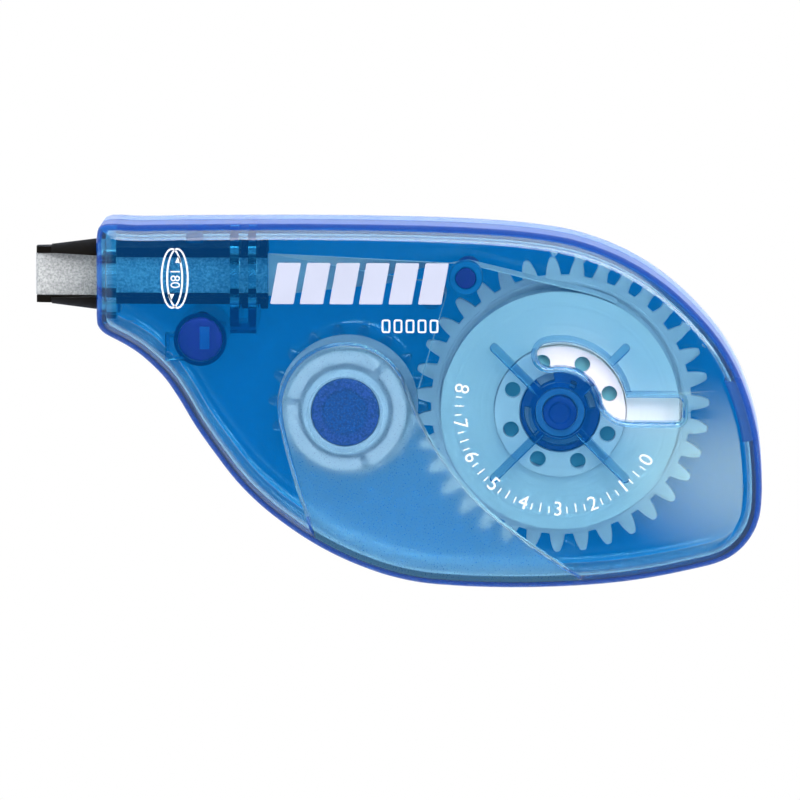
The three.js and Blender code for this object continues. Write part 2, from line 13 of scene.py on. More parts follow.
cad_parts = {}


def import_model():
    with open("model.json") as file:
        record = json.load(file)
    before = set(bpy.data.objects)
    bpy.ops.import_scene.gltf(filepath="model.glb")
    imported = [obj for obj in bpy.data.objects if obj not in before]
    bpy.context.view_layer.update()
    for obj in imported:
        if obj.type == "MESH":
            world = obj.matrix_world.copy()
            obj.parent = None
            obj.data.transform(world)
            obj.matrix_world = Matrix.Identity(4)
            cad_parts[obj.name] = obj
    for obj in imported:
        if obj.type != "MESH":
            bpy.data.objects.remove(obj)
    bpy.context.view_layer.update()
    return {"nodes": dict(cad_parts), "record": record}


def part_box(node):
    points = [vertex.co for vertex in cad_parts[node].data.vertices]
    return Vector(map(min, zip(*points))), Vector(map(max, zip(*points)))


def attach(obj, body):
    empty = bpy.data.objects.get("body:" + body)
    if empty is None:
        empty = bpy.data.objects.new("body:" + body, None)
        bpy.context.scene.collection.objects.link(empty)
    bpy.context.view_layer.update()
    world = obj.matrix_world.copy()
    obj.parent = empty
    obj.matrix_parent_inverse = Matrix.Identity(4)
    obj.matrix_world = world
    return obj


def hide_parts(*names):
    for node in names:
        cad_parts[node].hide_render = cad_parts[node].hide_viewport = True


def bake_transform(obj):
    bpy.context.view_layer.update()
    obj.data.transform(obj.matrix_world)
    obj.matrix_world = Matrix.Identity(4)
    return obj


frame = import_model()

MM = 0.001
TAU = 2 * math.pi
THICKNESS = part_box("front_cover")[1].z
MIDDLE = THICKNESS / 2
FLOOR_T = 1.2 * MM
WALL_T = 1.3 * MM
EDGE_ROUND = 1.6 * MM
INSIDE = THICKNESS - FLOOR_T
SPLIT_GAP = 0.04 * MM
SEGMENTS = 96


# ---------- where things are, read from the frame ----------
def middle(node):
    low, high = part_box(node)
    return (low + high) / 2


def radius(node):
    low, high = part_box(node)
    return (high.x - low.x) / 2


def z_span(node):
    low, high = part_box(node)
    return low.z, high.z


SUPPLY = middle("tape_coil")
TAKEUP = middle("used_film_coil")
PIN = middle("guide_pin")
POST = middle("guide_post")
BOSS = middle("snap_pin")
COIL_R = radius("tape_coil")
CORE_R = radius("supply_core")
CLUTCH_R = radius("clutch_ring")
CLUTCH_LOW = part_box("clutch_ring")[0].z
AXLE_R = 2.0 * MM
PIN_R = 1.2 * MM
SLEEVE_R = 2.9 * MM
HUB_R = 5.1 * MM
DRUM_R = 7.0 * MM
BOSS_R = 3.15 * MM
BOSS_BORE = 2.7 * MM
RUNNING_GAP = 0.06 * MM
GEAR_LOW, GEAR_HIGH = z_span("takeup_gear")
GEAR_MODULE = 0.96 * MM
GEAR_TEETH = 35
PINION_TEETH = 18
GEAR_FIRST_TOOTH = 1
BACKLASH = 0.07 * MM
TAPE_LOW, TAPE_HIGH = z_span("tape_coil")
TIP_Y = middle("tip_blade").y
TIP_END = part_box("tip_used_film")[0].x
BARREL_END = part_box("tip_barrel")[1].x
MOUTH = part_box("front_cover")[0].x
MOUTH_R = 4.75 * MM
MOUTH_DEPTH = 2.6 * MM
BEARING_R = 3.95 * MM
COLLAR_R = 4.05 * MM
CHEEK_IN = 2.55 * MM
CHEEK_OUT = 3.35 * MM
LANE = 0.45 * MM
STRIP_T = 0.1 * MM
SEAT = 0.2 * MM


# ---------- materials ----------
class Tree:
    """The nodes of a material or a world."""

    def __init__(self, owner):
        owner.use_nodes = True
        self.nodes = owner.node_tree.nodes
        self.links = owner.node_tree.links

    def give(self, node, values):
        """Sets a node's inputs. A value that is another node's output is linked."""
        for key, value in values.items():
            if isinstance(value, bpy.types.NodeSocket):
                self.links.new(value, node.inputs[key])
            else:
                node.inputs[key].default_value = value

    def add(self, kind, inputs=(), **properties):
        node = self.nodes.new("ShaderNode" + kind)
        for key, value in properties.items():
            setattr(node, key, value)
        self.give(node, dict(inputs))
        return node

    def place(self):
        """Coordinates in the object's own space, in metres."""
        return self.add("TexCoord").outputs["Object"]

    def noise(self, scale, detail=3.0):
        """Noise in object space, so that its grain has a real size."""
        return self.add("TexNoise", {"Vector": self.place(), "Scale": scale, "Detail": detail}).outputs["Fac"]

    def ramp(self, source, low, high, start=0.0, end=1.0):
        """Maps source from start..end onto two colours or two grey levels."""
        node = self.add("ValToRGB", {"Fac": source})
        for element, position, level in zip(node.color_ramp.elements, (start, end), (low, high)):
            element.position = position
            element.color = (*level, 1) if isinstance(level, tuple) else (level, level, level, 1)
        return node.outputs["Color"]

    def rise(self, source, low, high):
        """From 0 to 1 as source goes from low to high."""
        return self.add("MapRange", {"From Min": low, "From Max": high, "Value": source}).outputs["Result"]

    def mix(self, share, a, b, kind="RGBA"):
        return self.add("Mix", {"Factor": share, "A": a, "B": b}, data_type=kind).outputs["Result"]

    def calculate(self, operation, *values):
        node = self.add("Math", enumerate(values), operation=operation)
        return node.outputs["Value"]

    def vector(self, operation, *values):
        node = self.add("VectorMath", enumerate(values), operation=operation)
        return node.outputs["Value" if operation in ("DISTANCE", "LENGTH") else "Vector"]


def new_material(name):
    material = bpy.data.materials.new(name)
    tree = Tree(material)
    return material, tree, tree.nodes["Principled BSDF"]


PLASTIC_IOR = 1.49
BLUE_ABSORBED = (0.187, 0.722, 0.927, 1)
BLUE_DENSITY = 600.0
HAZE = (0.05, 0.35, 1.0, 1)
HAZE_DENSITY = 80.0
FROST_TINT = (0.14, 0.56, 1.0)
FROST_SHARE = 0.04
FROST_ROUGHNESS = (0.24, 0.34)
GLOSS_ROUGHNESS = (0.02, 0.05)
CLEAR_EYE = (3.9 * MM, 4.6 * MM)
VEIL_TINT = (0.01, 0.30, 1.0)
VEIL_SHARE = 0.055
# Painted shade: a dark blue matt share on the rim faces, for the dark band that the thick rounded edge shows.
RIM_SHADE_TINT = (0.002, 0.06, 0.36, 1)
RIM_SHADE_SHARE = 0.5


def clear_blue():
    """Clear tinted plastic: glass-like faces over a blue-absorbing inside. Face attributes say where it is
    frosted, slightly veiled, or carries a painted shade along the rim: a dark blue matt share that stands for
    the dark band of the thick edge. The frost stops short of the take-up post."""
    material, tree, shader = new_material("clear_blue_plastic")
    frost, outer, rim = (tree.add("Attribute", attribute_name=name).outputs["Fac"]
                         for name in ("frost", "outer", "rim"))
    apart = tree.vector("DISTANCE", tree.place(), (TAKEUP.x, TAKEUP.y - 0.15 * MM, THICKNESS))
    frosted = tree.calculate("MULTIPLY", tree.rise(apart, *CLEAR_EYE), frost)
    smooth = tree.ramp(tree.noise(220.0), *GLOSS_ROUGHNESS)
    rough = tree.ramp(tree.noise(9000.0, 2.0), *FROST_ROUGHNESS)
    tree.give(shader, {"Base Color": (1, 1, 1, 1), "Transmission Weight": 1.0, "IOR": PLASTIC_IOR,
                       "Roughness": tree.mix(frosted, smooth, rough, "FLOAT")})
    # On the rim faces the matt tint is the painted rim shade.
    tint = tree.mix(rim, tree.ramp(frost, VEIL_TINT, FROST_TINT), RIM_SHADE_TINT)
    matt = tree.add("BsdfDiffuse", {"Color": tint})
    share = 0.0
    for source, weight in ((outer, VEIL_SHARE), (frosted, FROST_SHARE), (rim, RIM_SHADE_SHARE)):
        share = tree.calculate("MULTIPLY_ADD", source, weight, share)
    surface = tree.add("MixShader", {"Fac": share, 1: shader.outputs["BSDF"], 2: matt.outputs["BSDF"]})
    absorb = tree.add("VolumeAbsorption", {"Color": BLUE_ABSORBED, "Density": BLUE_DENSITY})
    haze = tree.add("VolumeScatter", {"Color": HAZE, "Density": HAZE_DENSITY})
    both = tree.add("AddShader", {0: absorb.outputs["Volume"], 1: haze.outputs["Volume"]})
    tree.give(tree.nodes["Material Output"],
              {"Surface": surface.outputs["Shader"], "Volume": both.outputs["Shader"]})
    return material


def solid_plastic(name, colour, roughness, grain=0.04, shine=0.5):
    """Opaque moulded plastic with a faint grain in its colour, gloss and surface."""
    material, tree, shader = new_material(name)
    fine = tree.noise(1500.0)
    broad = tree.noise(120.0)
    darker = tuple(c * (1 - grain) for c in colour)
    lighter = tuple(min(c * (1 + grain), 1) for c in colour)
    relief = tree.add("Bump", {"Strength": 0.08, "Distance": 0.02 * MM, "Height": fine})
    tree.give(shader, {"Base Color": tree.ramp(broad, darker, lighter, 0.3, 0.7),
                       "Roughness": tree.ramp(fine, roughness * 0.8, roughness * 1.2),
                       "Specular IOR Level": shine, "Normal": relief.outputs["Normal"]})
    return material


def speckled_film():
    """Used film with a fine metallic grain. Inside the barrel its colour turns bluer: painted blue light, for
    the light that reaches it through the blue cover.
    """
    material, tree, shader = new_material("speckled_film")
    split = tree.add("SeparateXYZ", {"Vector": tree.place()})
    inward = tree.rise(split.outputs["X"], MOUTH - 0.5 * MM, MOUTH + 0.8 * MM)
    grain = tree.noise(4200.0, 2.0)
    outside = tree.ramp(grain, (0.20, 0.21, 0.21), (0.42, 0.43, 0.43), 0.3, 0.7)
    # Painted blue light inside the barrel, where the film lies under the blue cover.
    inside_blue_lit = tree.ramp(grain, (0.04, 0.23, 0.42), (0.15, 0.50, 0.74), 0.36, 0.64)
    tree.give(shader, {"Base Color": tree.mix(inward, outside, inside_blue_lit),
                       "Roughness": tree.ramp(grain, 0.5, 0.7)})
    return material


def speckled_post():
    """Take-up post: deep blue with a coarse speckle, a little more violet round its rim."""
    material, tree, shader = new_material("speckled_blue_plastic")
    apart = tree.vector("DISTANCE", tree.place(), (TAKEUP.x, TAKEUP.y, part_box("takeup_axle")[1].z))
    grain = tree.noise(4200.0, 2.0)
    heart = tree.ramp(grain, (0.001, 0.02, 0.17), (0.002, 0.07, 0.42), 0.36, 0.64)
    rim = tree.ramp(grain, (0.006, 0.02, 0.18), (0.035, 0.07, 0.46), 0.36, 0.64)
    tree.give(shader, {"Base Color": tree.mix(tree.rise(apart, 2.4 * MM, 3.0 * MM), heart, rim),
                       "Roughness": 0.6, "Specular IOR Level": 0.1})
    return material


# Each plain plastic: its material's name, colour and roughness, then the depth of its grain and its gloss.
PLASTICS = {
    "deep_blue": ("deep_blue_plastic", (0.012, 0.13, 0.50), 0.3),
    "post_blue": ("post_blue_plastic", (0.01, 0.22, 0.50), 0.5, 0.04, 0.1),
    "navy_blue": ("navy_blue_plastic", (0.002, 0.045, 0.32), 0.35, 0.04, 0.3),
    "clutch_blue": ("clutch_blue_plastic", (0.003, 0.08, 0.34), 0.35, 0.3, 0.3),
    "latch_blue": ("latch_blue_plastic", (0.008, 0.10, 0.40), 0.5, 0.04, 0.1),
    "mid_blue": ("mid_blue_plastic", (0.06, 0.30, 0.66), 0.4),
    "violet_blue": ("violet_blue_plastic", (0.032, 0.015, 0.27), 0.4, 0.25, 0.2),
    "key_blue": ("key_blue_plastic", (0.005, 0.11, 0.44), 0.4, 0.1, 0.2),
    "pale_blue": ("natural_plastic", (0.90, 0.88, 0.94), 0.4),
    "white_plastic": ("white_plastic", (0.86, 0.87, 0.88), 0.4),
    "face_white": ("face_white_plastic", (0.80, 0.72, 0.80), 0.4),
    "spool_natural": ("spool_natural_plastic", (0.62, 0.64, 0.76), 0.4),
    "core_white": ("core_white_plastic", (0.96, 0.89, 0.92), 0.4),
    "white_tape": ("white_tape", (0.86, 0.87, 0.90), 0.5),
    "grey_film": ("grey_film", (0.27, 0.28, 0.28), 0.35, 0.2),
    "clear_film": ("clear_film", (0.49, 0.63, 0.75), 0.3),
    "ink": ("white_ink", (0.36, 0.38, 0.47), 0.6, 0.04, 0.1),
    "bright_ink": ("bright_ink", (0.60, 0.62, 0.66), 0.6, 0.04, 0.1),
    # Painted shade: the teal of the ring that shows through the core's holes.
    "hole_shade_teal": ("shaded_web_plastic", (0.20, 0.60, 0.72), 0.6, 0.3, 0.1),
    "black_plastic": ("black_plastic", (0.004, 0.0032, 0.0024), 0.55, 0.04, 0.03),
}
PAINT = {key: solid_plastic(*row) for key, row in PLASTICS.items()}
PAINT["clear_blue"] = clear_blue()
PAINT["speckled_blue"] = speckled_post()
PAINT["speckled_film"] = speckled_film()


# ---------- building meshes ----------
# A solid is a pair: its points and its faces.
def new_object(name, solid):
    verts, faces = solid
    mesh = bpy.data.meshes.new(name)
    mesh.from_pydata([tuple(v) for v in verts], [], faces)
    obj = bpy.data.objects.new(name, mesh)
    bpy.context.scene.collection.objects.link(obj)
    return obj


def shade(mesh, sharp):
    mesh.polygons.foreach_set("use_smooth", [True] * len(mesh.polygons))
    mesh.set_sharp_from_angle(angle=math.radians(sharp))
    mesh.update()


def finish_object(obj, body, slot, paint=None, node=None, sharp=35):
    """Shades and paints a piece, makes it ride its body, and hides the CAD node that it takes the place of.
    """
    shade(obj.data, sharp)
    obj.data.materials.clear()
    obj.data.materials.append(PAINT[paint or slot])
    if body:
        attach(obj, body)
    if node:
        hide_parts(node)


def make_object(name, solid, body, slot, paint=None, node=None, sharp=35):
    obj = new_object(name, solid)
    obj.data.validate()
    finish_object(obj, body, slot, paint, node, sharp)
    return obj


def weigh_normals(obj):
    """Keeps wide flat faces flat where they run into rounded edges."""
    modifier = obj.modifiers.new("normals", "WEIGHTED_NORMAL")
    modifier.weight = 100
    modifier.keep_sharp = True


def weld(obj):
    """Merges points on the same spot, such as those of a profile on its axis."""
    work = bmesh.new()
    work.from_mesh(obj.data)
    bmesh.ops.remove_doubles(work, verts=work.verts, dist=1e-7)
    bmesh.ops.recalc_face_normals(work, faces=work.faces)
    work.to_mesh(obj.data)
    work.free()


def loose(solid, name="helper"):
    """A solid with its doubled points merged. It is a helper until finish_object makes it a piece."""
    obj = new_object(name, solid)
    weld(obj)
    return obj


def combine(obj, others, operation):
    """Joins or cuts obj with others, one after another. They are solids, or helpers that are used up."""
    for other in others:
        helper = other if isinstance(other, bpy.types.Object) else loose(other)
        modifier = obj.modifiers.new("bool", "BOOLEAN")
        modifier.operation = operation
        modifier.solver = "MANIFOLD"
        modifier.object = helper
        depsgraph = bpy.context.evaluated_depsgraph_get()
        result = bpy.data.meshes.new_from_object(obj.evaluated_get(depsgraph))
        obj.modifiers.clear()
        obj.data = result
        bpy.data.objects.remove(helper)


def shaped(solid, add=(), cut=(), name="helper"):
    """A solid that others are joined to, and that others are then cut out of."""
    obj = loose(solid, name)
    combine(obj, add, "UNION")
    combine(obj, cut, "DIFFERENCE")
    return obj


def signed_area(loop):
    x, y = np.array(loop).T
    return 0.5 * float(np.sum(x * np.roll(y, -1) - np.roll(x, -1) * y))


def anticlockwise(loop):
    return loop if signed_area(loop) > 0 else loop[::-1]


def inset(loop, distance):
    """A closed 2D loop moved to its left by a distance.
    Points that a tight corner turns over, which come too close to the loop, are evened out."""
    points = np.array(loop, float)
    along = np.roll(points, -1, 0) - np.roll(points, 1, 0)
    along /= np.maximum(np.linalg.norm(along, axis=1), 1e-12)[:, None]
    moved = points + np.stack([-along[:, 1], along[:, 0]], 1) * distance
    if distance <= 0:
        return moved
    too_close = 0.985 * distance
    good = np.linalg.norm(moved[:, None] - points[None], axis=2).min(1) > too_close
    if good.all() or not good.any():
        return moved
    count = len(points)
    index = np.arange(count)
    known = np.concatenate([index[good] - count, index[good], index[good] + count])
    for axis in (0, 1):
        values = np.tile(moved[good, axis], 3)
        moved[~good, axis] = np.interp(index[~good], known, values)
    return moved


def at_height(loop, z):
    return [(x, y, z) for x, y in loop]


def solid_from_chains(chains):
    """Closed solid from chains of rings. The first chain is the outside, the others are holes. Each chain is
    skinned, and the first and last rings of all of them are joined by two caps."""
    verts = []
    faces = []
    ends = []
    for chain in chains:
        size = len(chain[0])
        first = len(verts)
        for ring in chain:
            verts.extend(ring)
        for level in range(len(chain) - 1):
            a = first + level * size
            b = a + size
            for i in range(size):
                j = (i + 1) % size
                faces.append((a + i, a + j, b + j, b + i))
        ends.append((first, first + (len(chain) - 1) * size, size))
    sliver = 1e-14
    for end, flip in ((0, True), (1, False)):
        rims = [range(item[end], item[end] + item[2]) for item in ends]
        index = [i for rim in rims for i in rim]
        for triangle in tessellate_polygon([[Vector(verts[i]) for i in rim] for rim in rims]):
            a, b, c = (index[k] for k in triangle)
            va, vb, vc = (np.array(verts[k][:2]) for k in (a, b, c))
            turn = float(np.cross(vb - va, vc - va))
            if abs(turn) > sliver:
                faces.append((a, c, b) if (turn > 0) == flip else (a, b, c))
    return verts, faces


def quarter(steps, size=1.0):
    """A quarter of a circle from (size, 0) to (0, size), bulging towards (0, 0)."""
    angles = [k * math.pi / 2 / steps for k in range(steps + 1)]
    return [(size * (1 - math.sin(a)), size * (1 - math.cos(a))) for a in angles]


def rounded_levels(loop, z0, z1, edge, steps=3):
    """Rings of a plate's side from z0 to z1, with both edges rounded by edge."""
    if edge <= 0:
        return [at_height(loop, z0), at_height(loop, z1)]
    bend = quarter(steps, edge)
    rings = [at_height(inset(loop, inward), z0 + up) for inward, up in bend]
    return rings + [at_height(inset(loop, inward), z1 - down) for inward, down in bend[::-1]]


def plate(loops, z0, z1, edge=0.0, steps=3):
    """Flat solid: outer loop first, then holes, its edges rounded."""
    sides = [anticlockwise(loops[0])] + [anticlockwise(hole)[::-1] for hole in loops[1:]]
    return solid_from_chains([rounded_levels(side, z0, z1, edge, steps) for side in sides])


def flared(loop, levels):
    """Closed solid whose outline grows by a given amount at each height: levels are (z, growth)."""
    ordered = anticlockwise(loop)
    return solid_from_chains([[at_height(inset(ordered, -grow), z) for z, grow in levels]])


def on_circle(centre, r, angle):
    return (centre[0] + r * math.cos(angle), centre[1] + r * math.sin(angle))


def circle(centre, r, count=SEGMENTS):
    return [on_circle(centre, r, TAU * i / count) for i in range(count)]


def box_solid(x0, x1, y0, y1, z0, z1, edge=0.0):
    return plate([[(x0, y0), (x1, y0), (x1, y1), (x0, y1)]], z0, z1, edge)


def tube_solid(centre, inner, outer, z0, z1, edge=0.0, count=64):
    return plate([circle(centre, outer, count), circle(centre, inner, count)], z0, z1, edge)


def lathe(centre, profile, count=SEGMENTS):
    """A closed (radius, z) profile turned about a Z axis through centre. A radius of 0 is on the axis."""
    size = len(profile)
    verts = [(*on_circle(centre, r, TAU * i / count), z) for i in range(count) for r, z in profile]
    faces = []
    for i in range(count):
        j = (i + 1) % count
        for k in range(size):
            m = (k + 1) % size
            on_axis = (profile[k][0] == 0, profile[m][0] == 0)
            if all(on_axis):
                continue
            corners = [i * size + k, j * size + k, j * size + m, i * size + m]
            if on_axis[0]:
                del corners[1]
            elif on_axis[1]:
                del corners[3]
            faces.append(tuple(corners))
    return verts, faces


def rounded_profile(points, edge=0.15 * MM, steps=3):
    """A (radius, z) profile with its corners rounded, except those on the axis."""
    out = []
    count = len(points)
    for i, point in enumerate(points):
        if point[0] == 0:
            out.append(point)
            continue
        here, before, after = (Vector(points[k % count]) for k in (i, i - 1, i + 1))
        cut = min(edge, (before - here).length * 0.45, (after - here).length * 0.45)
        start = here + (before - here).normalized() * cut
        end = here + (after - here).normalized() * cut
        for step in range(steps + 1):
            t = step / steps
            place = start * (1 - t) ** 2 + here * 2 * t * (1 - t) + end * t ** 2
            out.append((place.x, place.y))
    return out


def ring_profile(inner, outer, z0, z1, edge=0.12 * MM):
    return rounded_profile([(inner, z0), (outer, z0), (outer, z1), (inner, z1)], edge)


def turned(name, centre, profile, body, slot, paint=None, node=None, count=SEGMENTS, sharp=35):
    obj = make_object(name, lathe(centre, profile, count), body, slot, paint, node, sharp)
    weld(obj)
    shade(obj.data, sharp)


# ---------- flat outlines ----------
def spot(x, y):
    """A point given in millimetres."""
    return (x * MM, y * MM)


def arc(centre, r, start, end, count):
    """Points on an arc, angles in degrees."""
    angles = [math.radians(start + (end - start) * i / count) for i in range(count + 1)]
    return [on_circle(centre, r, angle) for angle in angles]


def bezier(points, count):
    """Points along a Bezier curve of any degree, without its first one."""
    out = []
    for i in range(1, count + 1):
        t = i / count
        level = [np.array(p, float) for p in points]
        while len(level) > 1:
            level = [a * (1 - t) + b * t for a, b in zip(level, level[1:])]
        out.append(tuple(level[0]))
    return out


def through(points, per_span):
    """Smooth open curve through points, without its first one."""
    rows = np.array([points[0]] + list(points) + [points[-1]], float)
    out = []
    for p0, p1, p2, p3 in zip(rows, rows[1:], rows[2:], rows[3:]):
        for step in range(1, per_span + 1):
            t = step / per_span
            out.append(tuple(0.5 * (2 * p1 + (p2 - p0) * t + (2 * p0 - 5 * p1 + 4 * p2 - p3) * t ** 2
                                    + (3 * p1 - p0 - 3 * p2 + p3) * t ** 3)))
    return out


def ring_sector(centre, inner, outer, start, end, count=12):
    return arc(centre, outer, start, end, count) + arc(centre, inner, end, start, count)


# ---------- housing ----------
def centripetal(points, per_span):
    """Part of a centripetal spline through four points, from the second one up to the third.
    It stays smooth where the spacing changes."""
    knots = [0.0]
    for a, b in zip(points, points[1:]):
        knots.append(knots[-1] + np.linalg.norm(b - a) ** 0.5)
    out = []
    for step in range(per_span):
        t = knots[1] + (knots[2] - knots[1]) * step / per_span
        level = points
        for spans in (((0, 1), (1, 2), (2, 3)), ((0, 2), (1, 3)), ((1, 2),)):
            level = [(a * (knots[n] - t) + b * (t - knots[m])) / (knots[n] - knots[m])
                     for a, b, (m, n) in zip(level, level[1:], spans)]
        out.append(level[0])
    return out


def smooth_closed(points, per_span):
    """Smooth closed curve through points."""
    rows = np.array(points, float)
    out = []
    for i in range(len(rows)):
        out += centripetal([rows[(i + k) % len(rows)] for k in (-1, 0, 1, 2)], per_span)
    return out


def split_long_spans(points, longest, pieces):
    """Adds points along the straight spans, so that a spline through them stays straight there."""
    out = []
    for a, b in zip(points, points[1:] + points[:1]):
        count = pieces if math.dist(a, b) > longest else 1
        out += [(a[0] + (b[0] - a[0]) * k / count, a[1] + (b[1] - a[1]) * k / count) for k in range(count)]
    return out


def housing_outline():
    """The body's edge, taken from the CAD cover where its rounding ends, and smoothed."""
    verts = [v.co for v in frame["nodes"]["back_cover"].data.vertices]
    rim = {(round(v.x, 6), round(v.y, 6)) for v in verts if abs(v.z - EDGE_ROUND) < 0.01 * MM}
    heart = Vector(spot(8, 2))
    ordered = sorted(rim, key=lambda p: math.atan2(p[1] - heart.y, p[0] - heart.x))
    return [tuple(p) for p in smooth_closed(split_long_spans(ordered, 6 * MM, 5), 4)]


OUTLINE = housing_outline()
RECESS_CENTRE = (SUPPLY.x, TAKEUP.y + 0.6 * MM)
REST_DEPTH = 0.4 * MM
SHOULDER = 2.3 * MM
REST_HEAD = 7.7 * MM
WINDOW_INNER = 5.1 * MM
WINDOW_OUTER = 8.0 * MM
WINDOW_START = 101
WINDOW_BEND = 12
WINDOW_END = 14.5 * MM
WINDOW_TOP = 1.4 * MM
WINDOW_BOTTOM = -1.5 * MM
WINDOW_CORNER = 0.8 * MM
WINDOW_EDGE = 0.42 * MM
WINDOW_LIP = 0.7 * MM
KEEPER_ANGLES = (45, 135, 225, 315)
KEEPER_HALF = 0.5 * MM
KEEPER_REACH = (3.2 * MM, 11 * MM)
BEARING_RIBS = ((-34.3 * MM, -33.3 * MM), (-19.8 * MM, -18.75 * MM), (-17.65 * MM, -16.7 * MM))
RIB_TOP = TIP_Y + 5.5 * MM
RIB_FEET = (4.7 * MM, 6.0 * MM)
DIVIDER_X = (-25 * MM, -23 * MM)
DIVIDER_FOOT = TIP_Y + 4.3 * MM
CLIP_X = (-27.5 * MM, -24.9 * MM)
CLIP_Y = (5.3 * MM, 8.5 * MM)
CLIP_WALL = 0.4 * MM
BRIDGE_Y = (8.6 * MM, 9.8 * MM)
AXLE_SEAT = (3.0 * MM, 3.7 * MM)
EJECTOR_MARKS = ((37.8, -11.8), (-4.3, -13.8), (-9.5, 16.8))
REAR_X = 36 * MM
TONGUE_Y = (-4.8 * MM, 3.3 * MM)
TONGUE_LOW = MIDDLE - 1.0 * MM
TONGUE_HIGH = MIDDLE + 2.0 * MM
TONGUE_GAP = 0.15 * MM


def cover_levels(top):
    """Rings of one cover, from the edge of its inside floor round the rim to the edge of its outer face."""
    rings = [(WALL_T + inward, INSIDE - down) for inward, down in quarter(4, 0.6 * MM)]
    rings += [(WALL_T, MIDDLE + 0.15 * MM), (WALL_T - 0.12 * MM, MIDDLE + SPLIT_GAP),
              (0.15 * MM, MIDDLE + SPLIT_GAP), (0.0, MIDDLE + 0.18 * MM)]
    rings += [(SHOULDER * inward, THICKNESS - EDGE_ROUND * down) for down, inward in quarter(10)]
    return [at_height(inset(OUTLINE, depth), z if top else THICKNESS - z) for depth, z in rings]


def bar_along_x(x0, x1, r0, r1=None, count=64):
    """Round bar or cone about the tip's axis."""
    r1 = r0 if r1 is None else r1
    verts, faces = lathe((0, 0), [(0, x0), (r0, x0), (r1, x1), (0, x1)], count)
    return [(z, TIP_Y + x, MIDDLE + y) for x, y, z in verts], faces


def mouth():
    """Round opening that the barrel sits in."""
    return bar_along_x(MOUTH - MM, MOUTH + MOUTH_DEPTH, MOUTH_R)


def bearing_ribs(z0, z1):
    """Ribs with round notches that carry the barrel, and the short rib that parts the cells above it."""
    ribs = []
    for x0, x1 in BEARING_RIBS:
        foot = RIB_FEET[x0 > BOSS.x]
        rib = box_solid(x0, x1, TIP_Y - foot, RIB_TOP, z0, z1)
        ribs.append(shaped(rib, cut=[bar_along_x(x0 - MM, x1 + MM, BEARING_R)]))
    return ribs + [box_solid(*DIVIDER_X, DIVIDER_FOOT, RIB_TOP, z0, z1)]


def reel_keepers():
    """Four bars in an X on the inside of the front cover, their lower edges rounded."""
    start, end = KEEPER_REACH
    outline = [(start, -KEEPER_HALF)] + arc((end, 0), KEEPER_HALF, -90, 90, 8) + [(start, KEEPER_HALF)]
    levels = [(INSIDE - 1.6 * MM, -0.2 * MM), (INSIDE - 1.52 * MM, -0.06 * MM),
              (INSIDE - 1.4 * MM, 0.0), (INSIDE + SEAT, 0.0)]
    bars = []
    for angle in KEEPER_ANGLES:
        cos, sin = math.cos(math.radians(angle)), math.sin(math.radians(angle))
        placed = [(SUPPLY.x + x * cos - y * sin, SUPPLY.y + x * sin + y * cos) for x, y in outline]
        bars.append(flared(placed, levels))
    return bars


def window_loop():
    """The S-shaped window: an arc over the reel core that runs out into a straight slot."""
    x, y = RECESS_CENTRE
    half = (WINDOW_OUTER - WINDOW_INNER) / 2
    mean = (WINDOW_OUTER + WINDOW_INNER) / 2
    end = x + WINDOW_END
    top = y + WINDOW_TOP
    bottom = y + WINDOW_BOTTOM
    meet = math.degrees(math.asin(WINDOW_TOP / WINDOW_OUTER))
    points = arc((x, y), WINDOW_OUTER, WINDOW_START, meet, 28)
    points.append((end - WINDOW_CORNER, top))
    points += bezier([points[-1], (end, top), (end, top - WINDOW_CORNER)], 6)
    points += bezier([(end, bottom + WINDOW_CORNER), (end, bottom), (end - WINDOW_CORNER, bottom)], 6)
    points.append((x + WINDOW_OUTER + 0.8 * MM, bottom))
    bend = on_circle((x, y), WINDOW_INNER, math.radians(WINDOW_BEND))
    points += bezier([points[-1], (x + 6.6 * MM, bottom), (x + 5.4 * MM, y - 0.6 * MM), bend], 12)
    points += arc((x, y), WINDOW_INNER, WINDOW_BEND, WINDOW_START, 22)[1:]
    cap = on_circle((x, y), mean, math.radians(WINDOW_START))
    return points + arc(cap, half, WINDOW_START + 180, WINDOW_START, 12)[1:-1]


def thumb_rest_loop():
    """The thumb rest: a round head over the take-up reel with a tail that widens to the lower edge."""
    head = arc((TAKEUP.x, RECESS_CENTRE[1]), REST_HEAD, 28, 190, 48)
    left = [head[-1]] + [spot(*p) for p in ((-13.2, -4.5), (-11.8, -9.6), (-10.6, -13.2), (-9.6, -17.5))]
    right = [spot(*p) for p in ((22.5, -20.6), (19.8, -19.1), (13.7, -14.8), (9, -10.7), (4.4, -4.7))]
    right += [spot(2.1, -0.4), head[0]]
    return head + through(left, 8) + [spot(-9.6, -24), spot(24, -24), right[0]] + through(right, 8)[:-1]


def rear_tongue(z1, grow):
    """The latch at the rear end: a short length of rim up to a height."""
    rim = loose(plate([inset(OUTLINE, 0.25 * MM), inset(OUTLINE, WALL_T)], TONGUE_LOW, z1))
    low, high = TONGUE_Y
    reach = box_solid(REAR_X, REAR_X + 8 * MM, low - grow, high + grow, TONGUE_LOW - MM, z1 + MM)
    combine(rim, [reach], "INTERSECT")
    return rim


def snap_clip():
    """The thin-walled box beside the snap boss, open towards it."""
    (x0, x1), (y0, y1) = CLIP_X, CLIP_Y
    outer = box_solid(x0, x1, y0, y1, INSIDE - 2.4 * MM, INSIDE + SEAT, 0.1 * MM)
    inner = (x0 + CLIP_WALL, x1 + 0.9 * MM, y0 + CLIP_WALL, y1 - CLIP_WALL)
    return shaped(outer, cut=[box_solid(*inner, INSIDE - 4 * MM, INSIDE - CLIP_WALL)])


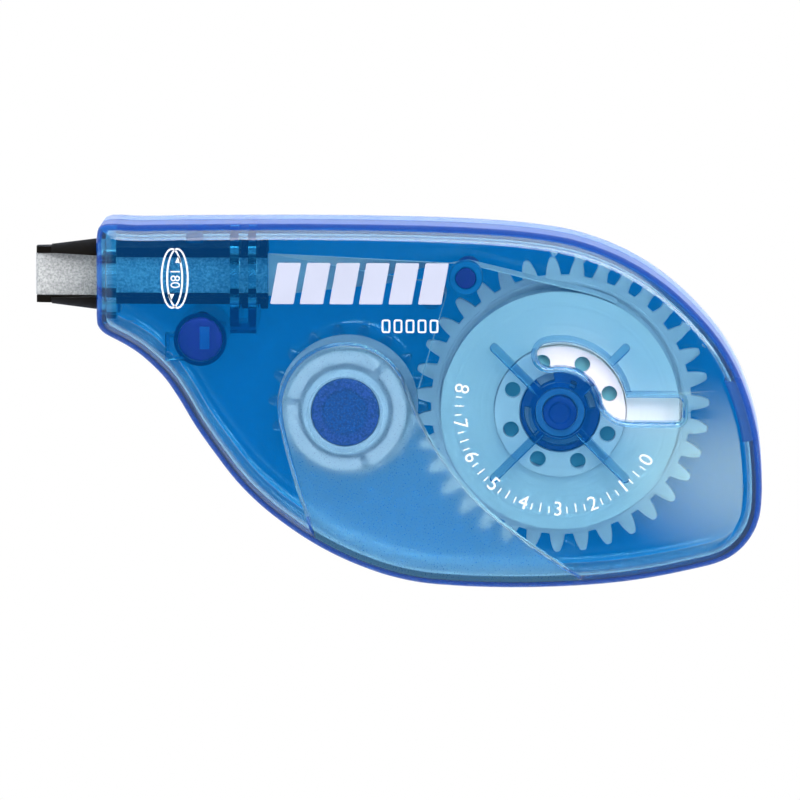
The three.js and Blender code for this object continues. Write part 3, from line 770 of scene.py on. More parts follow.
def ejector_marks(z_face, depth):
    """Shallow round marks that the mould's ejector pins leave on an inside face."""
    profile = [(0, z_face - MM), (2.1 * MM, z_face - MM), (2.3 * MM, z_face + depth), (0, z_face + depth)]
    return [lathe(spot(*place), profile, 48) for place in EJECTOR_MARKS]


def window_cutter():
    """The window with its rounded upper edge."""
    levels = [(INSIDE - 3 * MM, 0.0), (THICKNESS - WINDOW_EDGE, 0.0)]
    levels += [(THICKNESS - down, out) for down, out in quarter(4, WINDOW_EDGE)[1:]]
    return flared(window_loop(), levels + [(THICKNESS + MM, WINDOW_EDGE)])


def thumb_rest_cutter():
    """The thumb rest's hollow with its soft edge."""
    levels = [(THICKNESS - REST_DEPTH, -0.30 * MM), (THICKNESS - REST_DEPTH * 0.85, -0.12 * MM),
              (THICKNESS - REST_DEPTH * 0.4, 0.08 * MM), (THICKNESS, 0.22 * MM), (THICKNESS + MM, 0.3 * MM)]
    return flared(thumb_rest_loop(), levels)


def mark_faces(obj, name, weight):
    """Sets a face attribute to the weight of each face."""
    attribute = obj.data.attributes.new(name, "FLOAT", "FACE")
    attribute.data.foreach_set("value", [float(weight(face)) for face in obj.data.polygons])


def near_rim(face, reach):
    return min(math.dist(point, face.center[:2]) for point in OUTLINE) < reach


WALL_REACH = 0.8 * MM


def front_cover():
    low = MIDDLE + 0.3 * MM
    high = INSIDE + SEAT
    bridge = box_solid(BEARING_RIBS[1][0], BEARING_RIBS[2][1], *BRIDGE_Y, low, high)
    add = bearing_ribs(MIDDLE + SPLIT_GAP, high) + reel_keepers() + [
        tube_solid(BOSS, BOSS_BORE, BOSS_R, low, high),
        tube_solid(SUPPLY, *AXLE_SEAT, INSIDE - 1.2 * MM, high),
        bridge,
        plate([inset(window_loop()[::-1], -WINDOW_LIP)], INSIDE - 0.9 * MM, high, 0.1 * MM, 2),
        snap_clip(),
    ]
    cut = [mouth(), window_cutter(), thumb_rest_cutter(), rear_tongue(TONGUE_HIGH + 0.2 * MM, TONGUE_GAP)]
    cut += ejector_marks(INSIDE, 0.06 * MM)
    obj = shaped(solid_from_chains([cover_levels(True)]), add, cut, "front_cover_shell")
    finish_object(obj, "housing", "clear_blue", node="front_cover", sharp=28)

    def frosted(face):
        return abs(face.center.z - (THICKNESS - REST_DEPTH)) < 0.02 * MM and face.normal.z > 0.95

    def veil(face):
        """The outer face, and more strongly the reel keepers."""
        at = face.center
        if at.z > THICKNESS - EDGE_ROUND and face.normal.z > 0.1:
            return 1
        in_keepers = INSIDE - 1.7 * MM < at.z < INSIDE - 0.1 * MM and math.dist(at[:2], SUPPLY[:2]) < 12 * MM
        return 4 if in_keepers else 0

    # Faces that carry the painted rim shade.
    def in_rim_shade(face):
        wall = abs(face.normal.z) < 0.1 and near_rim(face, WALL_REACH)
        return wall or (0.1 < face.normal.z < 0.85 and near_rim(face, SHOULDER))

    mark_faces(obj, "frost", frosted)
    mark_faces(obj, "outer", veil)
    mark_faces(obj, "rim", in_rim_shade)
    weigh_normals(obj)


def back_cover():
    low = FLOOR_T - SEAT
    add = bearing_ribs(low, MIDDLE - SPLIT_GAP)
    add += [tube_solid(BOSS, BOSS_BORE, BOSS_R, low, MIDDLE), rear_tongue(TONGUE_HIGH, 0.0)]
    obj = shaped(solid_from_chains([cover_levels(False)]), add, [mouth()], "back_cover_shell")
    finish_object(obj, "housing", "clear_blue", node="back_cover", sharp=28)

    # Faces that carry the painted rim shade, half of it on the side walls.
    def in_rim_shade(face):
        if abs(face.normal.z) < 0.1:
            return 0.5 * near_rim(face, WALL_REACH)
        return -0.6 < face.normal.z < 0 and near_rim(face, SHOULDER)

    mark_faces(obj, "frost", lambda face: 0)
    mark_faces(obj, "outer", lambda face: face.center.z < EDGE_ROUND and face.normal.z < -0.1)
    mark_faces(obj, "rim", in_rim_shade)
    weigh_normals(obj)


# ---------- fixed pieces inside ----------
def fixed_piece(node, place, points, edge, paint, count=64):
    """A turned piece whose (radius, z) points are given from the axis outwards and back."""
    turned(node + "_turned", place, rounded_profile(points, edge), "housing", "deep_blue", paint, node, count)


def fixed_pieces():
    """Axles, guides and snap pin, each turned with rounded edges."""
    low, high = z_span("snap_pin")
    r = BOSS_BORE - RUNNING_GAP
    fixed_piece("snap_pin", BOSS, [(0, low), (r, low), (r, high), (0, high)], 0.3 * MM, "violet_blue")
    key = box_solid(BOSS.x - 0.1 * MM, BOSS.x + 1.1 * MM, BOSS.y - 1.2 * MM, BOSS.y + 1.5 * MM,
                    high - 0.2 * MM, high + 0.04 * MM, 0.1 * MM)
    make_object("snap_pin_key", key, "housing", "deep_blue", "key_blue")

    low, high = z_span("supply_axle")
    foot_r, foot = 3.4 * MM, low + 0.6 * MM
    dimple_r, dimple = 1.2 * MM, high - 0.35 * MM
    points = [(0, low), (foot_r, low), (foot_r, foot), (AXLE_R, foot), (AXLE_R, high),
              (dimple_r + 0.1 * MM, high), (dimple_r, dimple), (0, dimple)]
    fixed_piece("supply_axle", SUPPLY, points, 0.2 * MM, "navy_blue")

    low, high = z_span("takeup_axle")
    r = radius("takeup_axle")
    dish = high - 0.2 * MM
    points = [(0, low), (r, low), (r, high), (2.75 * MM, high), (2.55 * MM, dish), (0, dish)]
    fixed_piece("takeup_axle", TAKEUP, points, 0.15 * MM, "speckled_blue")

    low, high = z_span("guide_pin")
    foot_r, foot = 1.55 * MM, TAPE_LOW - 0.3 * MM
    points = [(0, low), (foot_r, low), (foot_r, foot), (PIN_R, foot), (PIN_R, high), (0, high)]
    fixed_piece("guide_pin", PIN, points, 0.15 * MM, "violet_blue", 48)
    collar_low, collar_high = TAPE_HIGH + 0.3 * MM, high - 0.3 * MM
    collar = ring_profile(PIN_R + 0.02 * MM, radius("guide_pin"), collar_low, collar_high, 0.2 * MM)
    turned("guide_pin_collar", PIN, collar, "housing", "deep_blue", "post_blue", None, 48)

    low, high = z_span("guide_post")
    r = radius("guide_post")
    fixed_piece("guide_post", POST, [(0, low), (r, low), (r, high), (0, high)], 0.3 * MM, "post_blue", 48)


def rim_stretch(near, far, y0, y1):
    """Closed loop along the rear end of the rim, between two depths in from the outline."""
    loop = []
    for depth, way in ((near, 1), (far, -1)):
        side = [tuple(p) for p in inset(OUTLINE, depth) if p[0] > REAR_X and y0 < p[1] < y1]
        loop += side[::way]
    return loop


def rear_latch():
    """Spring tab in the rim at the rear end that holds the two covers together."""
    loop = rim_stretch(0.5 * MM, 2.0 * MM, TONGUE_Y[0], TONGUE_Y[1] + 0.1 * MM)
    tab = plate([loop], MIDDLE + 0.3 * MM, THICKNESS - 1.3 * MM, 0.1 * MM, 2)
    make_object("rear_latch_tab", tab, "housing", "deep_blue", "latch_blue")


# ---------- gears ----------
def involute(r, base):
    """The angle that an involute has turned through where it is r from the centre."""
    slope = math.sqrt(max((r / base) ** 2 - 1, 0))
    return slope - math.atan(slope)


def gear_loop(centre, teeth, first_tooth, tip_round):
    """Involute gear outline with rounded tooth tips and roots."""
    pitch = GEAR_MODULE * teeth / 2
    base = pitch * math.cos(math.radians(20))
    half = math.pi / (2 * teeth) - BACKLASH / pitch + involute(pitch, base)
    root = pitch - 1.25 * MM
    tip = pitch + 0.9 * MM
    start = max(base, root)
    flank = [(root, half + 0.05 * MM / root)]
    for share in (0, 0.4, 0.75, 1):
        r = start + (tip - start) * share
        flank.append((r, half - involute(r, base)))
    points = []
    for tooth in range(teeth):
        mid = math.radians(first_tooth) + tooth * TAU / teeth
        points += [on_circle(centre, r, mid - angle) for r, angle in flank]
        points += [on_circle(centre, r, mid + angle) for r, angle in flank[::-1]]
    return rounded_profile(points, tip_round, 4)


def supply_gear():
    """Gear wheel with the sleeve that turns on the supply axle."""
    low, high = z_span("supply_gear")
    bore = AXLE_R + RUNNING_GAP
    loops = [gear_loop(SUPPLY, GEAR_TEETH, GEAR_FIRST_TOOTH, 0.42 * MM), circle(SUPPLY, bore, 64)]
    sleeve = tube_solid(SUPPLY, bore, SLEEVE_R, low, high, 0.15 * MM)
    inner, outer = COIL_R + 0.25 * MM, COIL_R + 0.65 * MM
    lip = tube_solid(SUPPLY, inner, outer, GEAR_HIGH - 0.1 * MM, GEAR_HIGH + 0.35 * MM, 0.08 * MM, 128)
    seat = tube_solid(SUPPLY, SLEEVE_R - 0.1 * MM, 4.6 * MM, 8.2 * MM, CLUTCH_LOW - 0.04 * MM, 0.05 * MM)
    wheel = plate(loops, GEAR_LOW, GEAR_HIGH, 0.12 * MM, 2)
    gear = shaped(wheel, [sleeve, lip, seat], name="supply_gear_wheel")
    finish_object(gear, "gear_wheel", "pale_blue", node="supply_gear")
    low, high = high + 0.01 * MM, high + 0.12 * MM
    washer = ring_profile(bore + 0.06 * MM, SLEEVE_R - 0.02 * MM, low, high, 0.04 * MM)
    turned("sleeve_washer", SUPPLY, washer, "gear_wheel", "deep_blue", "mid_blue", None, 64)


CORE_FACE_T = 0.9 * MM
CORE_TUBE_IN = 7.15 * MM
CORE_SLEEVE_R = 5.2 * MM
CORE_SLEEVE_LOW = 7.5 * MM
CORE_SHADE_RING_Z = (8.2 * MM, 8.6 * MM)
HOLE_CIRCLE = 6.2 * MM
HOLE_R = 0.92 * MM
HOLE_ANGLES = range(20, 380, 45)
FLANGE_R = 8.4 * MM
FLANGE_Z = (3.9 * MM, 4.3 * MM)
DRUM_IN = 6.3 * MM
DRUM_Z = (4.2 * MM, 9.9 * MM)
SPOOL_WEB_Z = (8.9 * MM, 9.3 * MM)
FACE_RING = (5.6 * MM, 7.25 * MM)
FACE_GAPS = (170, 50, 290)
FACE_GAP_HALF = 3.2
# Each slot of the clutch: where it starts and ends in degrees, and its inner and outer radius.
CLUTCH_SLOTS = (
    (100, 128, 3.75 * MM, 5.0 * MM),
    (58, 70, 3.1 * MM, 4.0 * MM),
    (5, 38, 3.4 * MM, 4.25 * MM),
    (172, 226, 3.4 * MM, 4.25 * MM),
    (236, 312, 3.3 * MM, 4.1 * MM),
)


def clutch_ring():
    """The slip clutch: a ring on the gear's sleeve whose long slots leave sprung arms."""
    low, high = z_span("clutch_ring")
    ring = tube_solid(SUPPLY, SLEEVE_R + 0.04 * MM, CLUTCH_R, low, high, 0.15 * MM, 96)
    levels = [(low - MM, 0), (high - 0.12 * MM, 0), (high + MM, 0.12 * MM)]
    slots = [flared(ring_sector(SUPPLY, inner, outer, start, end, 16), levels)
             for start, end, inner, outer in CLUTCH_SLOTS]
    clutch = shaped(ring, cut=slots, name="clutch_ring_sprung")
    finish_object(clutch, "gear_wheel", "deep_blue", "clutch_blue", "clutch_ring")


def supply_core():
    """Reel core: a face with eight round holes over an outer and an inner tube."""
    low, high = z_span("supply_core")
    bore = CLUTCH_R + 0.1 * MM
    round_off = 0.12 * MM
    face = plate([circle(SUPPLY, CORE_R, 128), circle(SUPPLY, bore, 96)], high - CORE_FACE_T, high, round_off)
    under = high - 0.5 * MM
    tube = tube_solid(SUPPLY, CORE_TUBE_IN, CORE_R - 0.01 * MM, low, under, 0, 128)
    sleeve = tube_solid(SUPPLY, bore + 0.01 * MM, CORE_SLEEVE_R, CORE_SLEEVE_LOW, under, 0, 96)
    levels = [(high - 1.5 * MM, 0), (high - 0.1 * MM, 0)]
    levels += [(high + 0.1 * MM, round_off), (high + MM, round_off)]
    centres = [on_circle(SUPPLY, HOLE_CIRCLE, math.radians(angle)) for angle in HOLE_ANGLES]
    holes = [flared(circle(centre, HOLE_R, 32), levels) for centre in centres]
    core = shaped(face, [tube, sleeve], holes, "supply_core_reel")
    finish_object(core, "reel_core", "white_plastic", "core_white", "supply_core")
    # A ring under the core's holes, painted teal as the painted shade seen through them.
    web = ring_profile(CORE_SLEEVE_R + 0.05 * MM, CORE_TUBE_IN - 0.05 * MM, *CORE_SHADE_RING_Z)
    turned("supply_core_shade_ring", SUPPLY, web, "reel_core", "white_plastic", "hole_shade_teal", None, 96)


def wound_coil(name, node, centre, inner, turns, body, slot):
    """A wound tape: a ring whose flat faces step a little from turn to turn."""
    rng = np.random.default_rng(7)
    radii = np.linspace(radius(node), inner, turns + 1)
    offsets = rng.uniform(0, 0.014 * MM, turns)
    top = []
    bottom = []
    for a, b, offset in zip(radii, radii[1:], offsets):
        groove = (a - b) * 0.12
        for r in (a - groove, b + groove):
            top.append((r, TAPE_HIGH - offset))
            bottom.append((r, TAPE_LOW + offset))
    turned(name, centre, top + bottom[::-1], body, slot, None, node, 144, 20)


def takeup_gear():
    """Pinion whose first tooth meets a gap of the gear wheel."""
    share = (180 - GEAR_FIRST_TOOTH) / (360 / GEAR_TEETH) % 1 + 0.5
    teeth = gear_loop(TAKEUP, PINION_TEETH, share * 360 / PINION_TEETH, 0.35 * MM)
    gear = loose(plate([teeth, circle(TAKEUP, HUB_R + 0.05 * MM, 64)], GEAR_LOW, GEAR_HIGH, 0.12 * MM, 2),
                 "takeup_gear_wheel")
    finish_object(gear, "takeup", "deep_blue", "clear_blue", "takeup_gear")


def takeup_spool():
    """Drum with its hub, its back flange and the web between them."""
    low, high = z_span("takeup_spool")
    bore = radius("takeup_axle") + RUNNING_GAP
    hub = tube_solid(TAKEUP, bore, HUB_R, low, high, 0.12 * MM, 96)
    flange = tube_solid(TAKEUP, bore + 0.02 * MM, FLANGE_R, *FLANGE_Z, 0.08 * MM, 128)
    drum = tube_solid(TAKEUP, DRUM_IN, DRUM_R, *DRUM_Z, 0, 96)
    web = tube_solid(TAKEUP, HUB_R - 0.1 * MM, DRUM_IN + 0.1 * MM, *SPOOL_WEB_Z, 0, 96)
    spool = shaped(hub, [flange, drum, web], name="takeup_spool_turned")
    finish_object(spool, "takeup", "pale_blue", "spool_natural", "takeup_spool")


def takeup_ring():
    """Three pale arcs on the spool's face."""
    low, high = z_span("takeup_ring")
    levels = [(low - MM, 0), (high - 0.3 * MM, 0), (high - 0.1 * MM, 0.1 * MM), (high + MM, 0.25 * MM)]
    gaps = [flared(ring_sector(TAKEUP, 5 * MM, 8 * MM, mid - FACE_GAP_HALF, mid + FACE_GAP_HALF, 3), levels)
            for mid in FACE_GAPS]
    ring = shaped(tube_solid(TAKEUP, *FACE_RING, low, high, 0.3 * MM, 128), cut=gaps, name="takeup_ring_face")
    finish_object(ring, "takeup", "white_plastic", "face_white", "takeup_ring")


def reels():
    supply_gear()
    clutch_ring()
    supply_core()
    wound_coil("tape_coil_wound", "tape_coil", SUPPLY, CORE_R + 0.05 * MM, 26, "reel_core", "white_tape")
    takeup_gear()
    takeup_spool()
    takeup_ring()
    wound_coil("used_film_wound", "used_film_coil", TAKEUP, DRUM_R + 0.04 * MM, 5, "takeup", "grey_film")


# ---------- tape and film ----------
def strip_solid(route, thickness, z0, z1):
    """A standing strip along a route of (x, y) points."""
    points = np.array(route, float)
    along = np.gradient(points, axis=0)
    along /= np.linalg.norm(along, axis=1)[:, None]
    side = np.stack([-along[:, 1], along[:, 0]], 1) * thickness / 2
    loop = [tuple(p) for p in points + side] + [tuple(p) for p in (points - side)[::-1]]
    return plate([loop], z0, z1)


def touch_angle(big, big_r, small, small_r):
    """The angle at which a line on the same side of two circles touches them, in degrees."""
    gap = Vector((small.x - big.x, small.y - big.y))
    return math.degrees(math.atan2(gap.y, gap.x) - math.acos((big_r - small_r) / gap.length))


def tape_run(node, reel, reel_r, guide, guide_r, slot, paint=None):
    """Tape from its reel to the guide and over it."""
    lead = 14
    angle = touch_angle(reel, reel_r, guide, guide_r)
    route = arc(reel, reel_r, angle - lead, angle, 12) + arc(guide, guide_r, angle, 90, 14)
    strip = strip_solid(route, STRIP_T, TAPE_LOW, TAPE_HIGH)
    make_object(node + "_strip", strip, "housing", slot, paint, node)


def twisted_strip(node, guide, guide_r, lane, slot, paint=None):
    """The stretch from guide to barrel. Its edges run straight while it turns by 90 degrees."""
    steps = 48
    half = (TAPE_HIGH - TAPE_LOW) / 2
    start = BARREL_END + 0.1 * MM
    end = guide.x
    verts = []
    for i in range(steps + 1):
        share = i / steps
        x = start + (end - start) * share
        mid = Vector((TIP_Y * (1 - share) + (guide.y + guide_r) * share, MIDDLE + lane * (1 - share)))
        wide = Vector((half * (1 - share), half * share))
        normal = Vector((-wide.y, wide.x)).normalized() * STRIP_T / 2
        for across, deep in ((-1, -1), (1, -1), (1, 1), (-1, 1)):
            corner = mid + wide * across + normal * deep
            verts.append((x, corner.x, corner.y))
    faces = [(3, 2, 1, 0)]
    for a in range(0, steps * 4, 4):
        faces += [(a + k, a + (k + 1) % 4, a + 4 + (k + 1) % 4, a + 4 + k) for k in range(4)]
    last = steps * 4
    faces.append((last, last + 1, last + 2, last + 3))
    obj = make_object(node + "_strip", (verts, faces), None, slot, paint)
    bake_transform(obj)
    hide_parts(node)


def tapes():
    off = 0.15 * MM + STRIP_T / 2
    pin_r = PIN_R + off
    post_r = radius("guide_post") + off
    film_r = radius("used_film_coil") + off
    tape_run("fresh_tape_run", SUPPLY, COIL_R + off, PIN, pin_r, "white_tape")
    tape_run("used_film_run", TAKEUP, film_r, POST, post_r, "grey_film", "clear_film")
    twisted_strip("fresh_tape_twist", PIN, pin_r, -LANE, "white_tape")
    twisted_strip("used_film_twist", POST, post_r, LANE, "grey_film", "clear_film")


# ---------- swivelling tip ----------
COLLARS = ((-18.6 * MM, -17.8 * MM), (-16.4 * MM, BARREL_END))
LIP_IN = 2.15 * MM
LIP_LOW = MIDDLE + 0.62 * MM
LIP_HIGH = MIDDLE + 1.3 * MM
WING_START = -41.3 * MM
WEB_HALF = 0.2 * MM


def extruded_y(outline_xz, y0, y1):
    """An (x, z) outline carried along Y."""
    verts, faces = plate([outline_xz], 0, y1 - y0)
    return [(x, y1 - depth, z) for x, z, depth in verts], faces


def cheek(side):
    """Side bar of the tip whose depth grows from the tip's end to the mouth."""
    end = TIP_END + 0.1 * MM
    half = [(end, 0.7 * MM), (end + 0.3 * MM, 0.95 * MM), (MOUTH, 1.9 * MM), (BARREL_END, 1.9 * MM)]
    outline = [(x, MIDDLE - z) for x, z in half] + [(x, MIDDLE + z) for x, z in half[::-1]]
    low, high = sorted((side * CHEEK_IN, side * CHEEK_OUT))
    return extruded_y(outline, TIP_Y + low, TIP_Y + high)


def wings():
    """Cone-shaped shoulders on both sides of the tape, cut back towards the tip's end."""
    start = WING_START
    end = MOUTH + 1.0 * MM
    narrow, wide = 2.42 * MM, 2.75 * MM
    gap = [(start - MM, TIP_Y - wide), (end + MM, TIP_Y - narrow),
           (end + MM, TIP_Y + narrow), (start - MM, TIP_Y + wide)]
    return shaped(bar_along_x(start, end, 3.55 * MM, 4.38 * MM, 96), cut=[plate([gap], 0, THICKNESS)])


def tip_barrel():
    """Barrel of the tip: two cheeks with front lips over the film's edges, collars, wings and a thin web."""
    slot = box_solid(TIP_END - MM, BARREL_END + MM, TIP_Y - CHEEK_IN, TIP_Y + CHEEK_IN, 0, THICKNESS)
    parts = [cheek(-1), wings()]
    parts += [shaped(bar_along_x(x0, x1, COLLAR_R, count=96), cut=[slot]) for x0, x1 in COLLARS]
    overlap = CHEEK_IN + 0.2 * MM
    for side in (-1, 1):
        low, high = sorted((side * LIP_IN, side * overlap))
        parts.append(box_solid(MOUTH, BARREL_END, TIP_Y + low, TIP_Y + high, LIP_LOW, LIP_HIGH))
    web_z = (MIDDLE - WEB_HALF, MIDDLE + WEB_HALF)
    parts.append(box_solid(MOUTH, BARREL_END, TIP_Y - overlap, TIP_Y + overlap, *web_z))
    barrel = shaped(cheek(1), parts, name="tip_barrel_black")
    finish_object(barrel, "tip", "black_plastic", node="tip_barrel", sharp=30)


def tip_blade():
    """The stiff tongue inside the tip, its end rounded for the tape."""
    half = 0.25 * MM
    back = MOUTH - 0.3 * MM
    nose = arc((TIP_END + 0.6 * MM, MIDDLE), half, 90, 270, 10)
    outline = [(back, MIDDLE - half), (back, MIDDLE + half)] + nose
    low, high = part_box("tip_blade")
    tongue = extruded_y(outline[::-1], low.y, high.y)
    make_object("tip_blade_tongue", tongue, "tip", "black_plastic", None, "tip_blade")


def tip_lane(node, side, wraps, slot, paint):
    """Tape in the tip: a flat lane, carried round the blade's end where it wraps."""
    inner = LANE - STRIP_T / 2
    outer = LANE + STRIP_T / 2
    bend = TIP_END + outer
    outline = [(BARREL_END, MIDDLE + side * outer), (bend, MIDDLE + side * outer)]
    if wraps:
        outline += arc((bend, MIDDLE), outer, 90, 270, 16)[1:]
        outline += arc((bend, MIDDLE), inner, 270, 90, 16)
    else:
        outline.append((bend, MIDDLE + side * inner))
    outline.append((BARREL_END, MIDDLE + side * inner))
    half = (TAPE_HIGH - TAPE_LOW) / 2 - 0.02 * MM
    make_object(node + "_lane", extruded_y(outline, TIP_Y - half, TIP_Y + half), "tip", slot, paint, node)


def tip():
    tip_barrel()
    tip_blade()
    tip_lane("tip_fresh_tape", -1, False, "white_tape", None)
    tip_lane("tip_used_film", 1, True, "grey_film", "speckled_film")


# ---------- printing on the front cover ----------
INK_Z = THICKNESS + 0.01 * MM
INK_T = 0.02 * MM


def joined(name, solids, paint):
    """One piece from several separate solids, printed on the front cover."""
    verts = []
    faces = []
    for solid_verts, solid_faces in solids:
        first = len(verts)
        verts.extend(solid_verts)
        faces.extend(tuple(first + i for i in face) for face in solid_faces)
    make_object(name, (verts, faces), "housing", "white_plastic", paint)


def inked(outer, *holes):
    return plate([outer, *holes], INK_Z, INK_Z + INK_T)


def figures(body, size, place, turn):
    """Figures in the built-in typeface, centred on place and turned by an angle in radians."""
    curve = bpy.data.curves.new("figures", "FONT")
    curve.body = body
    curve.size = size
    curve.align_x = "CENTER"
    curve.align_y = "CENTER"
    curve.extrude = INK_T / 2
    curve.resolution_u = 4
    obj = bpy.data.objects.new("figures", curve)
    mesh = bpy.data.meshes.new_from_object(obj)
    cos, sin = math.cos(turn), math.sin(turn)
    verts = [(place[0] + v.co.x * cos - v.co.y * sin, place[1] + v.co.x * sin + v.co.y * cos,
              INK_Z + INK_T / 2 + v.co.z) for v in mesh.vertices]
    faces = [tuple(face.vertices) for face in mesh.polygons]
    bpy.data.objects.remove(obj)
    bpy.data.curves.remove(curve)
    bpy.data.meshes.remove(mesh)
    return verts, faces


def print_band():
    """Row of slanted blocks in place of a name."""
    low, high = 12.2 * MM, 17.1 * MM
    width, gap, slant = 2.75 * MM, 0.75 * MM, 0.9 * MM
    blocks = []
    for i in range(6):
        x = -15.0 * MM + i * (width + gap)
        loop = [(x, low), (x + width, low), (x + width + slant, high), (x + slant, high)]
        blocks.append(inked(rounded_profile(loop, 0.15 * MM, 3)))
    joined("print_band", blocks, "ink")


def print_frames():
    """Short row of small empty frames under the band."""
    low, high = 8.8 * MM, 10.4 * MM
    width, step, line = 1.02 * MM, 1.42 * MM, 0.2 * MM
    frames = []
    for i in range(5):
        left = -1.8 * MM + i * step
        right = left + width
        outer = rounded_profile([(left, low), (right, low), (right, high), (left, high)], 0.3 * MM, 4)
        frames.append(inked(outer, inset(outer, line)))
    joined("print_frames", frames, "bright_ink")


def print_gauge():
    """Dial round the lower half of the reel: figures for the metres left, and ticks between them."""
    start, end, count = 168, 330, 8
    marks = []
    for i in range(count + 1):
        angle = math.radians(start + (end - start) * i / count)
        place = on_circle(RECESS_CENTRE, 11.9 * MM, angle)
        marks.append(figures(str(count - i), 2.4 * MM, place, angle + math.pi / 2))
    half = math.degrees(0.07 / 12)
    ticks = count * 4
    for i in range(ticks + 1):
        if i % 4:
            angle = start + (end - start) * i / ticks
            inner = (11.6 if i % 2 else 11.3) * MM
            marks.append(inked(ring_sector(RECESS_CENTRE, inner, 12.4 * MM, angle - half, angle + half, 1)))
    joined("print_gauge", marks, "bright_ink")


def ellipse(x, y, half_x, half_y):
    return [(x + half_x * cos, y + half_y * sin) for cos, sin in circle((0, 0), 1, 72)]


def print_turn_mark():
    """Two narrow loops with arrowheads: the tip turns by half a turn."""
    x, y = -26.3 * MM, TIP_Y + 0.2 * MM
    half_x, half_y, line = 1.33 * MM, 3.6 * MM, 0.22 * MM
    head_x, head_up, head_down = 0.4 * MM, 0.5 * MM, 0.35 * MM
    parts = []
    for side in (-1, 1):
        loop_x = x + side * 0.33 * MM
        hole = ellipse(loop_x, y, half_x - line, half_y - line)
        parts.append(inked(ellipse(loop_x, y, half_x, half_y), hole))
        at_x = x - side * 0.45 * MM
        at_y = y - side * 2.2 * MM
        base_y = at_y + side * head_down
        parts.append(inked([(at_x, at_y - side * head_up), (at_x + head_x, base_y), (at_x - head_x, base_y)]))
    parts.append(figures("180", 1.6 * MM, (x, y), -math.pi / 2))
    joined("print_turn_mark", parts, "bright_ink")


front_cover()
back_cover()
fixed_pieces()
rear_latch()
reels()
tapes()
tip()
print_band()
print_frames()
print_gauge()
print_turn_mark()


# ---------- camera, light and floor ----------
CAMERA_DISTANCE = 1.2
FIELD = 95.24 * MM
LOOK_AT = Vector((0.12 * MM, 0, MIDDLE))
LEAN_X = math.radians(2.0)
LEAN_Y = math.radians(6.7)
SENSOR = 36
SHEEN_LIGHT = 7.8
SHEEN_PLACE = (41.4 * MM, -69 * MM, 0.5)
SHEEN_TINT = (0.85, 1.0, 0.6)
SHEEN_REACH = (6 * MM, 22.5 * MM)
MAT_INSET = 1.1 * MM
MAT_SHIFT = -1.1 * MM
WALLS = (1.0, 1.0, 1.0)
CEILING = (0.012, 0.09, 0.42)
# Each soft light: the direction of its middle, its half widths along X, Y and Z, and its radiance.
SOFTBOXES = (
    ((0.10, 0.70, 0.71), (0.45, 0.45, 0.45), 5.0),
    ((0.20, 0.30, 0.93), (0.45, 0.13, 0.60), 9.0),
    ((-0.35, -0.66, 0.66), (0.42, 0.42, 0.42), 2.0),
)


def camera():
    """A long lens over the front cover, leaning a little towards the tip's edge of the body."""
    data = bpy.data.cameras.new("camera")
    obj = bpy.data.objects.new("camera", data)
    bpy.context.scene.collection.objects.link(obj)
    lean = Vector((math.tan(LEAN_X), math.tan(LEAN_Y), 1)).normalized()
    obj.location = LOOK_AT + lean * CAMERA_DISTANCE
    forward = (LOOK_AT - obj.location).normalized()
    right = forward.cross(Vector((0, 1, 0))).normalized()
    obj.rotation_euler = Matrix((right, right.cross(forward), -forward)).transposed().to_euler()
    data.sensor_width = SENSOR
    data.lens = SENSOR * CAMERA_DISTANCE / FIELD
    data.clip_end = 20
    bpy.context.scene.camera = obj


def world():
    """White studio: soft lights on two sides, and a dark blue ceiling that the flat face reflects."""
    studio = bpy.data.worlds.new("studio")
    bpy.context.scene.world = studio
    tree = Tree(studio)
    way = tree.add("TexCoord").outputs["Generated"]
    split = tree.add("SeparateXYZ", {"Vector": way})
    total = tree.ramp(split.outputs["Z"], WALLS, CEILING, 0.90, 0.975)
    for centre, half_widths, radiance in SOFTBOXES:
        share = tree.vector("DIVIDE", tree.vector("SUBTRACT", way, centre), half_widths)
        patch = tree.ramp(tree.vector("LENGTH", share), 1.0, 0.0, 0.77, 1.0)
        total = tree.vector("MULTIPLY_ADD", patch, (radiance, radiance, radiance), total)
    tree.give(tree.nodes["Background"], {"Color": total})


def sheet(name, outline, place, material):
    """Flat staging, not part of the object."""
    obj = new_object(name, ([(x, y, 0) for x, y in outline], [tuple(range(len(outline)))]))
    obj.location = place
    obj.data.materials.append(material)
    return obj


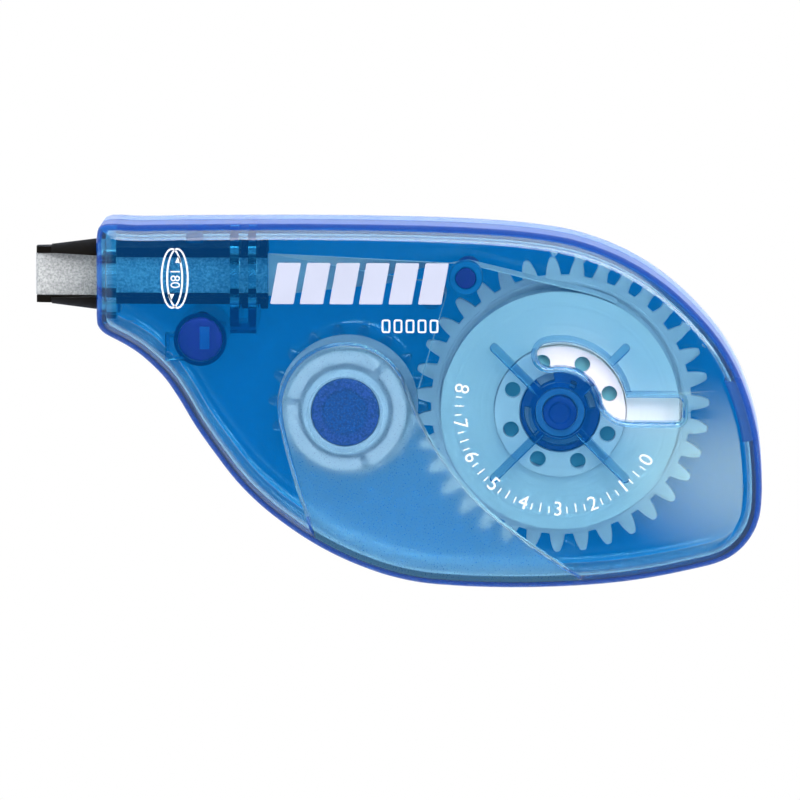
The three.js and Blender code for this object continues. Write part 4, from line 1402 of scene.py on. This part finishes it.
def square(half):
    return [(-half, -half), (half, -half), (half, half), (-half, half)]


def reflector():
    """Soft round patch of light over the rear end, seen only as a sheen on glossy faces."""
    material, tree, shader = new_material("reflector_glow")
    tree.nodes.remove(shader)
    reach = tree.vector("LENGTH", tree.vector("MULTIPLY", tree.place(), (1.0, 1.35, 1.0)))
    glow = tree.ramp(reach, SHEEN_TINT, 0.0, *SHEEN_REACH)
    light = tree.add("Emission", {"Strength": SHEEN_LIGHT, "Color": glow})
    tree.give(tree.nodes["Material Output"], {"Surface": light.outputs["Emission"]})
    obj = sheet("reflector", square(60 * MM), SHEEN_PLACE, material)
    for ray in ("camera", "diffuse", "transmission", "volume_scatter", "shadow"):
        setattr(obj, "visible_" + ray, False)


def floor():
    """White floor that the camera sees as pure white."""
    material, tree, shader = new_material("floor_white")
    tree.give(shader, {"Base Color": (0.72, 0.78, 0.92, 1), "Roughness": 0.9, "Specular IOR Level": 0.0})
    white = tree.add("Emission", {"Strength": 1.0})
    seen = tree.add("LightPath").outputs["Is Camera Ray"]
    mix = tree.add("MixShader", {"Fac": seen, 1: shader.outputs["BSDF"], 2: white.outputs["Emission"]})
    tree.give(tree.nodes["Material Output"], {"Surface": mix.outputs["Shader"]})
    sheet("floor", square(3.0), (0, 0, -0.05 * MM), material)


def mat():
    """Blue mat under the body, hidden from the camera: it stands for the light that blue plastic gathers."""
    material, tree, shader = new_material("mat_blue")
    tree.give(shader, {"Base Color": (0.03, 0.36, 0.84, 1), "Roughness": 0.9, "Specular IOR Level": 0.0,
                       "Emission Color": (0.0, 0.5, 1.0, 1), "Emission Strength": 0.27})
    outline = [(x, y + MAT_SHIFT) for x, y in inset(OUTLINE, MAT_INSET)]
    sheet("mat", outline, (0, 0, -0.03 * MM), material).visible_camera = False


camera()
world()
reflector()
floor()
mat()
bpy.context.scene.view_settings.view_transform = "Standard"

for part in frame["record"]["subparts"]:
    node = frame["nodes"][part["node"]]
    node.data.materials.clear()
    node.data.materials.append(PAINT[part["material_slot"]])
